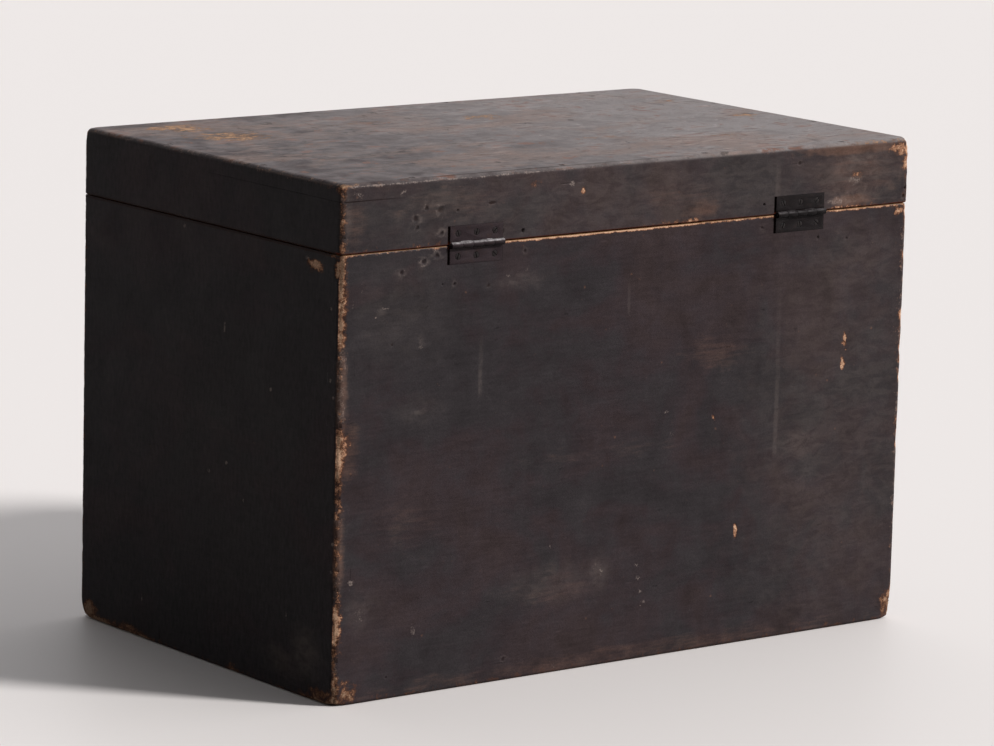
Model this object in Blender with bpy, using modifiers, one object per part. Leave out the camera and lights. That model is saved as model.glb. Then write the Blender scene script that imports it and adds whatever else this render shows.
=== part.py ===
"""Painted wooden chest: a dovetailed box with a nailed-on plank bottom and a deep lid on two butt hinges.

Metres, +Z up. The origin is the middle of the underside. The front faces -Y, the hinges are on the
back at +Y, and left and right are as seen from the front, so the right end is at +X.
"""

import math

import bmesh
import bpy
from mathutils import Matrix, Vector

# Closed chest, without the hinge knuckles
WIDTH = 0.794
DEPTH = 0.496
HEIGHT = 0.560
LID_HEIGHT = 0.075

# Boards
WALL_THICK = 0.020
BOTTOM_THICK = 0.020
LID_TOP_THICK = 0.019
PLANK_NAMES = ("front", "middle", "back")

# Clearances: seated faces, the lid on the walls, and plank to plank
FIT_GAP = 0.0003
SEAM_GAP = 0.0006
PLANK_GAP = 0.0006

# Worn arrises: upright corners, edges of the lid's top, edges of the underside, edges along the lid's seam
CORNER_ROUND = 0.007
TOP_ROUND = 0.0065
BASE_ROUND = 0.0035
SEAM_ROUND = 0.0015
ROUND_SEGMENTS = 3

# Dovetails: pins are on the end boards, tails on the front and back boards
WALL_PIN_COUNT = 6
RAIL_PIN_COUNT = 1
DOVETAIL_PIN_WIDTH = 0.020
DOVETAIL_SLOPE = 1 / 7

# Butt hinges, let in flush with the back; each mortise is too wide on its right
HINGE_LENGTH = 0.070
LEAF_HEIGHT = 0.0205
LEAF_THICK = 0.002
KNUCKLE_RADIUS = 0.0036
KNUCKLE_COUNT = 5
KNUCKLE_SEGMENTS = 20
HINGE_PIN_RADIUS = 0.0016
HINGE_PIN_PROUD = 0.001
LEFT_HINGE_INSET = 0.163
RIGHT_HINGE_INSET = 0.177
MORTISE_SLACK = 0.003

# Slotted countersunk wood screws
LEAF_SCREW_COUNT = 3
SCREW_INSET = 0.0105
SCREW_ROW = 0.0125
SCREW_LENGTH = 0.015
SCREW_HEAD_RADIUS = 0.0035
SCREW_HEAD_DEEP = 0.0017
SCREW_RIM = 0.0002
SCREW_SHANK_RADIUS = 0.00175
SCREW_TIP_LENGTH = 0.004
SCREW_SEGMENTS = 12
SLOT_WIDTH = 0.0009
SLOT_DEEP = 0.0009
SLOT_TURN = math.radians(37)

# Square cut nails, driven just under the surface
NAIL_LENGTH = 0.042
NAIL_HEAD = 0.006
NAIL_HEAD_THICK = 0.0015
NAIL_SHANK = 0.003
NAIL_TIP = 0.0016
NAIL_SUNK = 0.0006
PLANK_END_NAIL_COUNT = 2
PLANK_END_NAIL_INSET = 0.042
BOTTOM_SIDE_NAIL_COUNT = 2
BOTTOM_SIDE_NAIL_INSET = 0.265
LID_SIDE_NAIL_COUNT = 4
LID_SIDE_NAIL_INSET = 0.097
LID_END_NAIL_COUNT = 2
LID_END_NAIL_INSET = 0.158

# How far blanks and cutters run past the surface that trims them
SPARE = 0.004

# Edges of turned pieces that are flatter than this are shaded smooth
SMOOTH_ANGLE = math.radians(40)

# Faces that follow from the sizes above
HALF_WIDTH = WIDTH / 2
HALF_DEPTH = DEPTH / 2
INNER_X = HALF_WIDTH - WALL_THICK
INNER_Y = HALF_DEPTH - WALL_THICK
SEAM_Z = HEIGHT - LID_HEIGHT
WALL_LOW = BOTTOM_THICK + FIT_GAP
WALL_HIGH = SEAM_Z - SEAM_GAP / 2
RAIL_LOW = SEAM_Z + SEAM_GAP / 2
RAIL_HIGH = HEIGHT - LID_TOP_THICK - FIT_GAP
AXIS_Y = HALF_DEPTH - LEAF_THICK + KNUCKLE_RADIUS
HINGE_X = {"left": LEFT_HINGE_INSET - HALF_WIDTH, "right": HALF_WIDTH - RIGHT_HINGE_INSET}

BLACK_PAINT = (0.030, 0.026, 0.024)
BLACK_IRON = (0.035, 0.033, 0.033)
DULL_STEEL = (0.090, 0.085, 0.082)


def clear_scene():
    """Removes what the startup file holds."""
    for obj in list(bpy.data.objects):
        bpy.data.objects.remove(obj)


def new_collection(name):
    """Adds a collection to the scene."""
    collection = bpy.data.collections.new(name)
    bpy.context.scene.collection.children.link(collection)
    return collection


def finish(name, color, roughness, metallic):
    """Makes one plain material."""
    material = bpy.data.materials.new(name)
    material.use_nodes = True
    shader = material.node_tree.nodes["Principled BSDF"]
    shader.inputs["Base Color"].default_value = (*color, 1.0)
    shader.inputs["Roughness"].default_value = roughness
    shader.inputs["Metallic"].default_value = metallic
    return material


clear_scene()
PARTS = new_collection("painted_chest")
CUTTERS = new_collection("cutters")
PAINTED_PINE = finish("painted_pine", BLACK_PAINT, 0.55, 0.0)
HINGE_IRON = finish("hinge_iron", BLACK_IRON, 0.50, 0.8)
FASTENER_STEEL = finish("fastener_steel", DULL_STEEL, 0.45, 0.9)


def add_part(name, mesh, material, place=Matrix()):
    """Links a mesh as one named piece of the chest."""
    part = bpy.data.objects.new(name, mesh)
    if not mesh.materials:
        mesh.materials.append(material)
    part.matrix_world = place
    PARTS.objects.link(part)
    return part


def add_cutter(name, mesh, place=Matrix()):
    """Links a mesh as a helper that is never shown."""
    cutter = bpy.data.objects.new(name, mesh)
    cutter.matrix_world = place
    cutter.hide_render = True
    cutter.display_type = "WIRE"
    CUTTERS.objects.link(cutter)
    return cutter


def boolean(obj, other, operation="DIFFERENCE"):
    """Cuts, joins or trims an object by another."""
    modifier = obj.modifiers.new(other.name, "BOOLEAN")
    modifier.operation = operation
    modifier.object = other


def mesh_from(name, bm):
    """Turns a bmesh into mesh data."""
    mesh = bpy.data.meshes.new(name)
    bm.to_mesh(mesh)
    bm.free()
    return mesh


def evaluated_mesh(obj):
    """The mesh that an object shows with its modifiers, in the object's own frame."""
    graph = bpy.context.evaluated_depsgraph_get()
    return bpy.data.meshes.new_from_object(obj.evaluated_get(graph))


def shade_round(mesh):
    """Shades a turned mesh smooth and keeps its hard edges."""
    mesh.shade_smooth()
    mesh.set_sharp_from_angle(angle=SMOOTH_ANGLE)
    return mesh


def add_box(bm, low, high):
    """Adds a box between two corners to a bmesh."""
    low, high = Vector(low), Vector(high)
    place = Matrix.Translation((low + high) / 2) @ Matrix.Diagonal((*(high - low), 1.0))
    bmesh.ops.create_cube(bm, size=1.0, matrix=place)


def box_mesh(name, low, high):
    """A plain box between two corners."""
    bm = bmesh.new()
    add_box(bm, low, high)
    return mesh_from(name, bm)


def rod_mesh(name, radius, length, segments):
    """A round bar along X, centred, with a flat of its circle facing each of Y and Z."""
    bm = bmesh.new()
    half_step = Matrix.Rotation(math.pi / segments, 4, "Z")
    lying = Matrix.Rotation(math.pi / 2, 4, "Y") @ half_step
    bmesh.ops.create_cone(
        bm, cap_ends=True, segments=segments, radius1=radius, radius2=radius, depth=length, matrix=lying,
    )
    return mesh_from(name, bm)


def outline_mesh(name, points, y_low, y_high):
    """A flat outline in X and Z, given thickness from y_low to y_high."""
    curve = bpy.data.curves.new(name, "CURVE")
    curve.dimensions = "2D"
    curve.fill_mode = "BOTH"
    curve.extrude = (y_high - y_low) / 2
    spline = curve.splines.new("POLY")
    spline.points.add(len(points) - 1)
    for point, (x, z) in zip(spline.points, points):
        point.co = (x, z, 0.0, 1.0)
    spline.use_cyclic_u = True
    drawn = bpy.data.objects.new(name + "_outline", curve)
    CUTTERS.objects.link(drawn)
    mesh = evaluated_mesh(drawn)
    bpy.data.objects.remove(drawn)
    mesh.transform(Matrix.Translation((0, (y_low + y_high) / 2, 0)) @ Matrix.Rotation(math.pi / 2, 4, "X"))
    mesh.materials.clear()
    bm = bmesh.new()
    bm.from_mesh(mesh)
    bmesh.ops.remove_doubles(bm, verts=bm.verts, dist=1e-6)
    bmesh.ops.recalc_face_normals(bm, faces=bm.faces)
    bm.to_mesh(mesh)
    bm.free()
    return mesh


def worn_envelope(name, low_z, high_z, low_round, high_round):
    """A block of the chest's plan with rounded upright corners, which trims the boards inside it."""
    bm = bmesh.new()
    add_box(bm, (-HALF_WIDTH, -HALF_DEPTH, low_z), (HALF_WIDTH, HALF_DEPTH, high_z))

    def round_edges(edges, radius):
        bmesh.ops.bevel(
            bm, geom=edges, offset=radius, offset_type="OFFSET", affect="EDGES",
            segments=ROUND_SEGMENTS, profile=0.5, material=-1, clamp_overlap=True,
        )

    def edges_at(z):
        return [edge for edge in bm.edges if all(abs(v.co.z - z) < 1e-6 for v in edge.verts)]

    level = set(edges_at(low_z) + edges_at(high_z))
    round_edges([edge for edge in bm.edges if edge not in level], CORNER_ROUND)
    round_edges(edges_at(low_z), low_round)
    round_edges(edges_at(high_z), high_round)
    return add_cutter(name, mesh_from(name, bm))


BODY_ENVELOPE = worn_envelope("body_envelope", 0.0, WALL_HIGH, BASE_ROUND, SEAM_ROUND)
LID_ENVELOPE = worn_envelope("lid_envelope", RAIL_LOW, HEIGHT, SEAM_ROUND, TOP_ROUND)


def tail_outline(joint_low, joint_high, pins, blank_low, blank_high, clearance):
    """Outline of a board with tails at both ends, its sockets narrowed by the clearance on each side."""
    pitch = (joint_high - joint_low) / pins
    outer = HALF_WIDTH + SPARE
    shoulder = INNER_X - FIT_GAP
    narrow = DOVETAIL_PIN_WIDTH / 2 - SPARE * DOVETAIL_SLOPE - clearance
    wide = DOVETAIL_PIN_WIDTH / 2 + (HALF_WIDTH - shoulder) * DOVETAIL_SLOPE - clearance
    right_side = [(outer, blank_low)]
    for k in range(pins):
        middle = joint_low + (k + 0.5) * pitch
        right_side += [(outer, middle - narrow), (shoulder, middle - wide)]
        right_side += [(shoulder, middle + wide), (outer, middle + narrow)]
    right_side.append((outer, blank_high))
    return right_side + [(-x, z) for x, z in reversed(right_side)]


def dovetailed_frame(names, joint_low, joint_high, pins, blank_low, blank_high, envelope):
    """Four boards dovetailed at the corners: tails on front and back, pins on left and right."""
    boards = {}
    sockets = []
    for side, sign in (("front", -1), ("back", 1)):
        outline = tail_outline(joint_low, joint_high, pins, blank_low, blank_high, 0.0)
        faces = sorted((sign * INNER_Y, sign * (HALF_DEPTH + SPARE)))
        boards[side] = add_part(names[side], outline_mesh(names[side], outline, *faces), PAINTED_PINE)
        grown = tail_outline(
            joint_low, joint_high, pins, blank_low - SPARE, blank_high + SPARE, FIT_GAP,
        )
        deeper = sorted((sign * (INNER_Y - FIT_GAP), sign * (HALF_DEPTH + 2 * SPARE)))
        socket_name = names[side] + "_tails"
        sockets.append(add_cutter(socket_name, outline_mesh(socket_name, grown, *deeper)))
    run = HALF_DEPTH + SPARE
    for side, sign in (("left", -1), ("right", 1)):
        near, far = sorted((sign * INNER_X, sign * (HALF_WIDTH + SPARE / 2)))
        blank = box_mesh(names[side], (near, -run, blank_low), (far, run, blank_high))
        boards[side] = add_part(names[side], blank, PAINTED_PINE)
        for socket in sockets:
            boolean(boards[side], socket)
    for board in boards.values():
        boolean(board, envelope, "INTERSECT")
    return boards


def make_walls():
    """The four walls of the box, open above and resting on the bottom planks."""
    names = {
        "front": "front_board", "back": "back_board",
        "left": "left_end_board", "right": "right_end_board",
    }
    return dovetailed_frame(
        names, WALL_LOW, WALL_HIGH, WALL_PIN_COUNT, WALL_LOW, WALL_HIGH + SPARE, BODY_ENVELOPE,
    )


def make_rails():
    """The four rails of the lid."""
    names = {side: f"lid_{side}_rail" for side in ("front", "back", "left", "right")}
    return dovetailed_frame(
        names, RAIL_LOW, RAIL_HIGH, RAIL_PIN_COUNT, RAIL_LOW - SPARE, RAIL_HIGH, LID_ENVELOPE,
    )


def plank_middles():
    """The middle of each bottom plank in Y, from front to back, and the planks' width."""
    count = len(PLANK_NAMES)
    width = (DEPTH - (count - 1) * PLANK_GAP) / count
    return [-HALF_DEPTH + width / 2 + k * (width + PLANK_GAP) for k in range(count)], width


def make_bottom():
    """Planks along the chest, side by side, with their outer edges worn round."""
    planks = {}
    middles, width = plank_middles()
    run = HALF_WIDTH + SPARE
    for name, middle in zip(PLANK_NAMES, middles):
        low_y = middle - width / 2 - (SPARE if middle == middles[0] else 0.0)
        high_y = middle + width / 2 + (SPARE if middle == middles[-1] else 0.0)
        full_name = f"bottom_plank_{name}"
        blank = box_mesh(full_name, (-run, low_y, -SPARE), (run, high_y, BOTTOM_THICK))
        planks[name] = add_part(full_name, blank, PAINTED_PINE)
        boolean(planks[name], BODY_ENVELOPE, "INTERSECT")
    return planks


def make_lid_top():
    """The one wide board over the rails."""
    low = (-HALF_WIDTH - SPARE, -HALF_DEPTH - SPARE, HEIGHT - LID_TOP_THICK)
    high = (HALF_WIDTH + SPARE, HALF_DEPTH + SPARE, HEIGHT + SPARE)
    board = add_part("lid_top_board", box_mesh("lid_top_board", low, high), PAINTED_PINE)
    boolean(board, LID_ENVELOPE, "INTERSECT")
    return board


def row_across(count, length, inset):
    """Evenly spaced positions along a length centred on zero, kept in from its ends."""
    step = (length - 2 * inset) / (count - 1)
    return [inset - length / 2 + k * step for k in range(count)]


def nail_mesh(name, grow, proud):
    """A nail pointing down from its head's top at the origin, grown all round and run up past its head."""
    bm = bmesh.new()
    head = NAIL_HEAD / 2 + grow
    shank = NAIL_SHANK / 2 + grow
    tip = NAIL_TIP / 2 + grow
    add_box(bm, (-head, -head, -NAIL_HEAD_THICK - grow), (head, head, proud))
    bm.faces.ensure_lookup_table()
    under = min(bm.faces, key=lambda face: face.calc_center_median().z)
    bmesh.ops.inset_individual(bm, faces=[under], thickness=head - shank, use_even_offset=True)
    drawn = bmesh.ops.extrude_discrete_faces(bm, faces=[under])["faces"][0]
    drop = Vector((0, 0, NAIL_HEAD_THICK - NAIL_LENGTH))
    bmesh.ops.translate(bm, verts=drawn.verts, vec=drop)
    bmesh.ops.scale(bm, verts=drawn.verts, vec=(tip / shank, tip / shank, 1.0))
    return mesh_from(name, bm)


def drive_nails(prefix, places, boards):
    """Puts a nail at each place and cuts its hole in the boards it holds."""
    nail = nail_mesh(prefix, 0.0, 0.0)
    hole = nail_mesh(prefix + "_hole", FIT_GAP, SPARE)
    nails = []
    bm = bmesh.new()
    for number, place in enumerate(places, start=1):
        nails.append(add_part(f"{prefix}_{number:02d}", nail, FASTENER_STEEL, place))
        start = len(bm.verts)
        bm.from_mesh(hole)
        bm.verts.ensure_lookup_table()
        bmesh.ops.transform(bm, matrix=place, verts=bm.verts[start:])
    holes = add_cutter(prefix + "_holes", mesh_from(prefix + "_holes", bm))
    for board in boards:
        boolean(board, holes)
    return nails


def nail_bottom(planks, walls):
    """Nails the planks up into the walls: two in each plank end, and more along front and back."""
    upward = Matrix.Rotation(math.pi, 4, "X")
    end_x = HALF_WIDTH - WALL_THICK / 2
    side_y = HALF_DEPTH - WALL_THICK / 2
    middles, plank_width = plank_middles()
    across_plank = row_across(PLANK_END_NAIL_COUNT, plank_width, PLANK_END_NAIL_INSET)
    along_side = row_across(BOTTOM_SIDE_NAIL_COUNT, WIDTH, BOTTOM_SIDE_NAIL_INSET)
    spots = [(x, middle + y) for x in (-end_x, end_x) for middle in middles for y in across_plank]
    spots += [(x, y) for y in (-side_y, side_y) for x in along_side]
    places = [Matrix.Translation((x, y, NAIL_SUNK)) @ upward for x, y in spots]
    return drive_nails("bottom_nail", places, [*planks.values(), *walls.values()])


def nail_lid(top, rails):
    """Nails the top board down into the rails."""
    end_x = HALF_WIDTH - WALL_THICK / 2
    side_y = HALF_DEPTH - WALL_THICK / 2
    along_side = row_across(LID_SIDE_NAIL_COUNT, WIDTH, LID_SIDE_NAIL_INSET)
    along_end = row_across(LID_END_NAIL_COUNT, DEPTH, LID_END_NAIL_INSET)
    spots = [(x, y) for y in (-side_y, side_y) for x in along_side]
    spots += [(x, y) for x in (-end_x, end_x) for y in along_end]
    places = [Matrix.Translation((x, y, HEIGHT - NAIL_SUNK)) for x, y in spots]
    return drive_nails("lid_nail", places, [top, *rails.values()])


def turned_mesh(name, profile):
    """A profile of radius and height, from the top down, turned about Z."""
    bm = bmesh.new()
    points = [bm.verts.new((radius, 0.0, height)) for radius, height in profile]
    for upper, lower in zip(points, points[1:]):
        bm.edges.new((upper, lower))
    turned = add_cutter(name + "_profile", mesh_from(name + "_profile", bm))
    screw = turned.modifiers.new("turn", "SCREW")
    screw.steps = SCREW_SEGMENTS
    screw.render_steps = SCREW_SEGMENTS
    screw.use_merge_vertices = True
    screw.merge_threshold = 1e-5
    mesh = evaluated_mesh(turned)
    bpy.data.objects.remove(turned)
    return mesh


def screw_profile(grow, proud):
    """A countersunk screw pointing down from its head's top at the origin, grown and run up past its head."""
    head = SCREW_HEAD_RADIUS + grow
    shank = SCREW_SHANK_RADIUS + grow
    return [
        (0.0, proud), (head, proud), (head, -SCREW_RIM),
        (shank, -SCREW_HEAD_DEEP - grow), (shank, SCREW_TIP_LENGTH - SCREW_LENGTH - grow),
        (0.0, -SCREW_LENGTH - grow),
    ]


def slotted_screw_mesh():
    """A screw with the slot cut across its head."""
    blank = add_cutter("screw_blank", turned_mesh("screw", screw_profile(0.0, 0.0)))
    reach = SCREW_HEAD_RADIUS + SPARE
    slot_low = (-reach, -SLOT_WIDTH / 2, -SLOT_DEEP)
    slot_high = (reach, SLOT_WIDTH / 2, SPARE)
    slot = add_cutter("screw_slot", box_mesh("screw_slot", slot_low, slot_high))
    boolean(blank, slot)
    mesh = evaluated_mesh(blank)
    bpy.data.objects.remove(blank)
    bpy.data.objects.remove(slot)
    return shade_round(mesh)


SCREW_MESH = slotted_screw_mesh()
SCREW_HOLE_MESH = turned_mesh("screw_hole", screw_profile(FIT_GAP, SPARE))
FACING_BACK = Matrix.Rotation(-math.pi / 2, 4, "X")


def knuckle_notches(name, hinge_x, taken):
    """Room for the other leaf's knuckles, numbered from the hinge's left."""
    bm = bmesh.new()
    length = HINGE_LENGTH / KNUCKLE_COUNT
    reach = KNUCKLE_RADIUS + FIT_GAP
    for k in taken:
        low_x = hinge_x - HINGE_LENGTH / 2 + k * length - FIT_GAP / 2
        high_x = low_x + length + FIT_GAP
        low_x -= SPARE if k == 0 else 0.0
        high_x += SPARE if k == KNUCKLE_COUNT - 1 else 0.0
        add_box(bm, (low_x, AXIS_Y - reach, SEAM_Z - reach), (high_x, AXIS_Y + reach, SEAM_Z + reach))
    return add_cutter(name, mesh_from(name, bm))


def make_leaf(side, level, board):
    """One hinge leaf with its knuckles and screws, let into its board."""
    sign = -1 if level == "lower" else 1
    hinge_x = HINGE_X[side]
    name = f"{side}_hinge_{level}_leaf"
    low_z, high_z = sorted((SEAM_Z, SEAM_Z + sign * LEAF_HEIGHT))
    plate_low = (hinge_x - HINGE_LENGTH / 2, HALF_DEPTH - LEAF_THICK, low_z)
    plate_high = (hinge_x + HINGE_LENGTH / 2, HALF_DEPTH, high_z)
    leaf = add_part(name, box_mesh(name, plate_low, plate_high), HINGE_IRON)
    axis = Matrix.Translation((hinge_x, AXIS_Y, SEAM_Z))
    barrel = rod_mesh(name + "_barrel", KNUCKLE_RADIUS, HINGE_LENGTH, KNUCKLE_SEGMENTS)
    boolean(leaf, add_cutter(name + "_barrel", barrel, axis), "UNION")
    own_first = 0 if level == "lower" else 1
    others = range(1 - own_first, KNUCKLE_COUNT, 2)
    boolean(leaf, knuckle_notches(name + "_notches", hinge_x, others))
    bore = rod_mesh(name + "_bore", HINGE_PIN_RADIUS + FIT_GAP, HINGE_LENGTH + SPARE, KNUCKLE_SEGMENTS)
    boolean(leaf, add_cutter(name + "_bore", bore, axis))
    pieces = [leaf]
    for number, offset in enumerate(row_across(LEAF_SCREW_COUNT, HINGE_LENGTH, SCREW_INSET), start=1):
        head_top = Matrix.Translation((hinge_x + offset, HALF_DEPTH, SEAM_Z + sign * SCREW_ROW)) @ FACING_BACK
        turn = Matrix.Rotation(sign * number * SLOT_TURN, 4, "Z")
        screw_name = f"{side}_hinge_{level}_screw_{number}"
        pieces.append(add_part(screw_name, SCREW_MESH, FASTENER_STEEL, head_top @ turn))
        hole = add_cutter(screw_name + "_hole", SCREW_HOLE_MESH, head_top)
        boolean(leaf, hole)
        boolean(board, hole)
    return pieces


def make_mortise(side):
    """The recess for both leaves of a hinge, wider than the hinge on its right."""
    hinge_x = HINGE_X[side]
    name = f"{side}_hinge_mortise"
    low = (
        hinge_x - HINGE_LENGTH / 2 - FIT_GAP,
        HALF_DEPTH - LEAF_THICK - FIT_GAP,
        SEAM_Z - LEAF_HEIGHT - FIT_GAP,
    )
    high = (
        hinge_x + HINGE_LENGTH / 2 + FIT_GAP + MORTISE_SLACK,
        HALF_DEPTH + SPARE,
        SEAM_Z + LEAF_HEIGHT + FIT_GAP,
    )
    return add_cutter(name, box_mesh(name, low, high))


def make_hinges(wall, rail):
    """Both butt hinges; returns the pieces that move with the lid."""
    moving = []
    for side, hinge_x in HINGE_X.items():
        mortise = make_mortise(side)
        boolean(wall, mortise)
        boolean(rail, mortise)
        make_leaf(side, "lower", wall)
        moving += make_leaf(side, "upper", rail)
        length = HINGE_LENGTH + 2 * HINGE_PIN_PROUD
        pin = rod_mesh(f"{side}_hinge_pin", HINGE_PIN_RADIUS, length, KNUCKLE_SEGMENTS)
        axis = Matrix.Translation((hinge_x, AXIS_Y, SEAM_Z))
        add_part(f"{side}_hinge_pin", shade_round(pin), HINGE_IRON, axis)
    return moving


def hang_lid(pieces):
    """Parents the lid's pieces to an empty on the hinge pins' axis."""
    axis = bpy.data.objects.new("lid_axis", None)
    axis.location = (0.0, AXIS_Y, SEAM_Z)
    PARTS.objects.link(axis)
    bpy.context.view_layer.update()
    for piece in pieces:
        piece.parent = axis
        piece.matrix_parent_inverse = axis.matrix_world.inverted()


def main():
    """Builds the box, the lid and the hinges that join them."""
    planks = make_bottom()
    walls = make_walls()
    nail_bottom(planks, walls)
    top = make_lid_top()
    rails = make_rails()
    lid_nails = nail_lid(top, rails)
    upper_hinge_pieces = make_hinges(walls["back"], rails["back"])
    hang_lid([top, *rails.values(), *lid_nails, *upper_hinge_pieces])


main()
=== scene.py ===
"""Looks of an old painted pine chest: worn boards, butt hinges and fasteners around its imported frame."""

import logging
import math
from dataclasses import dataclass
from enum import Enum

import bmesh
import bpy
import numpy as np
from mathutils import Matrix, Vector, noise


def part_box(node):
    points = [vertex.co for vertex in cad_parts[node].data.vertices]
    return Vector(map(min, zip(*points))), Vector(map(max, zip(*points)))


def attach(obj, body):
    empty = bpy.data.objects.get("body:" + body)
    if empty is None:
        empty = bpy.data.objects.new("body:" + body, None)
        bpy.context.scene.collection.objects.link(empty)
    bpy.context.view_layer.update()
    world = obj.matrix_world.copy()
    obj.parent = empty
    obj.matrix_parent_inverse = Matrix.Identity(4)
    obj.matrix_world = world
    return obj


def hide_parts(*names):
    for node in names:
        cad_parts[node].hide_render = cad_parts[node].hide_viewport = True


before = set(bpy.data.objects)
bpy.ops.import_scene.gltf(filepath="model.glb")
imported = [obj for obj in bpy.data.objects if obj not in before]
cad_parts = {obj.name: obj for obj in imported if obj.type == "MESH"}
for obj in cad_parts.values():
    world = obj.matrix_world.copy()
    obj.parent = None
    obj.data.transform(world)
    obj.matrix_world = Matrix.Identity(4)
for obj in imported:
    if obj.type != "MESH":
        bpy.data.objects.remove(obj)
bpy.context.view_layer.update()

LOG = logging.getLogger("painted_chest")
MILLI = 0.001
TINY = 1e-6

# Sizes of the frame that the weathering and the finishes follow, in metres
CORNER_ROUND = 0.007
TOP_ROUND = 0.0065
BASE_ROUND = 0.0035
SEAM_ROUND = 0.0015
SKIN_DEPTH = 0.0006
JOINT_FILL = 0.00018
WALL_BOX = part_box("back_board")
LID_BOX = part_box("lid_top_board")
RAIL_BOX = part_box("lid_back_rail")
PIN_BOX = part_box("left_hinge_pin")
HALF_WIDTH = LID_BOX[1][0]
HALF_DEPTH = LID_BOX[1][1]
HEIGHT = LID_BOX[1][2]
TOP_JOINT = LID_BOX[0][2]
WALL_HIGH = WALL_BOX[1][2]
RAIL_LOW = RAIL_BOX[0][2]
SEAM_HEIGHT = 0.5 * (WALL_HIGH + RAIL_LOW)
REAR_SKIN = HALF_DEPTH - 0.01
HINGE_AXIS = (0.5 * (PIN_BOX[0][1] + PIN_BOX[1][1]), SEAM_HEIGHT)

# How marks are drawn: sizes in millimetres
SMALL_MARK = 7.0
RIM_LEAST = 1.6
RIM_RISE = 0.12

# How marks are drawn: distances from a mark, in metres
MARK_BAND = 0.004
MARK_MARGIN = 0.004

# How marks are drawn: strengths
DENT_DARKNESS = 0.52
SMALL_SHARE = 0.78
RIM_HIGHLIGHT_HAZE = 1.2
RIM_HIGHLIGHT_SCUFF = 0.54

# How the mesh is made finer under a small mark: rounds, and shares of the mark's half width
REFINE_ROUNDS = 3
REFINED_EDGE = 0.45
REFINE_REACH = 1.5

# Where paint leaves a joint open, how deep paint and the dirt and painted shade of joints run in, and where
# the mouth stays clean, in metres
SEAM_CLEAR = 0.002
HINGE_CLEAR = 0.03
HINGE_SPAN = 0.9 * HALF_WIDTH
CRACK_START = 0.362
UNPAINTED_DEPTH = 0.004
SHADED_RECESS_DEPTH = 0.0045
MOUTH_INSET = 0.006
MOUTH_HEIGHT = 0.008
SEAM_LIP = 0.0008

# The widths of the eased edges of fittings, in metres
LEAF_EASING = 0.00035
PIN_EASING = 0.0003
NAIL_EASING = 0.0003
SCREW_EASING = 0.00018

# The angle past which a fitting's edge is eased, and those past which edges are shaded sharp, in degrees
CRISP_ANGLE = 40.0
BOARD_SHARP = 40.0
FITTING_SHARP = 32.0

Colour = tuple[float, float, float, float]
Point = tuple[float, float, float]
Stops = tuple[tuple[float, float], ...]
MeshPart = bmesh.types.BMVert | bmesh.types.BMEdge | bmesh.types.BMFace


def linear(channel: int) -> float:
    """The linear level of a display level from 0 to 255."""
    share = channel / 255
    return share / 12.92 if share <= 0.04045 else ((share + 0.055) / 1.055) ** 2.4


def srgb(red: int, green: int, blue: int) -> Colour:
    """The linear colour, with full alpha, of a display colour from 0 to 255."""
    return (linear(red), linear(green), linear(blue), 1.0)


def per_metre(waves: float) -> Point:
    """The same number of waves in a metre along x, y and z."""
    return (waves, waves, waves)


def ease(values: np.ndarray, low: float, high: float) -> np.ndarray:
    """Step smoothly from 0 at low to 1 at high."""
    share = np.clip((values - low) / (high - low), 0.0, 1.0)
    return share * share * (3.0 - 2.0 * share)


def sample_noise(points: np.ndarray, frequency: float, seed: float) -> np.ndarray:
    """Gradient noise, from about -1 to 1, at rows of x, y and z, with a number of waves in a metre."""
    shifted = points * frequency + seed
    return np.array([noise.noise(Vector(row)) for row in shifted])


class Face(Enum):
    """An outer face of the chest: the axis that it looks along, and which way."""

    BACK = (1, 1)
    FRONT = (1, -1)
    RIGHT = (0, 1)
    LEFT = (0, -1)
    TOP = (2, 1)

    def __init__(self, axis: int, sign: int) -> None:
        """Keep the axis and the way."""
        self.axis = axis
        self.sign = sign

    @property
    def flat_axes(self) -> tuple[int, int]:
        """The axes in the face: along it, then up or across it."""
        return {0: (1, 2), 1: (0, 2), 2: (0, 1)}[self.axis]

    @property
    def place(self) -> float:
        """Where the face lies on its axis, in metres."""
        return self.sign * (HALF_WIDTH, HALF_DEPTH, HEIGHT)[self.axis]


class Trace(Enum):
    """What a mark leaves in the paint, named as the mesh attribute that holds it."""

    BARE = "bare"
    THIN = "thin"
    SCUFF = "scuff"
    HAZE = "haze"
    DARK = "dark"


BARE, THIN, SCUFF, HAZE, DARK = Trace


class Grain(Enum):
    """The axis that a board's grain runs along."""

    ALONG_X = 0
    ALONG_Y = 1


@dataclass(frozen=True)
class Mark:
    """One oval mark on an outer face, in millimetres.

    Attributes:
        trace: What it leaves in the paint.
        face: The face that it lies on.
        along: Its centre along the face, which is x, or y on an end.
        up: Its centre up the face, which is z, or y on the top.
        half_along: Half its length.
        half_up: Half its height.
        strength: How strong it is in the middle.
        depth: How deep it is pressed into the wood.
    """

    trace: Trace
    face: Face
    along: float
    up: float
    half_along: float
    half_up: float
    strength: float = 1.0
    depth: float = 0.0

    @property
    def half_least(self) -> float:
        """Half its narrower side."""
        return min(self.half_along, self.half_up)

    @property
    def small(self) -> bool:
        """Whether the mark needs a finer mesh than the boards have."""
        return self.half_least < SMALL_MARK

    def ratio(self, points: np.ndarray) -> np.ndarray:
        """How far each point lies from the centre, with 1 on the oval's rim.

        Args:
            points: Rows of x, y and z in metres.

        Returns:
            The ratio for each point, far above 1 away from the mark's face.
        """
        first, second = self.face.flat_axes
        sideways = (points[:, first] - self.along * MILLI) / (self.half_along * MILLI)
        upward = (points[:, second] - self.up * MILLI) / (self.half_up * MILLI)
        off_face = np.abs(points[:, self.face.axis] - self.face.place)
        return np.hypot(sideways, upward) + np.clip(off_face - MARK_BAND, 0.0, None) / MARK_BAND


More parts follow.
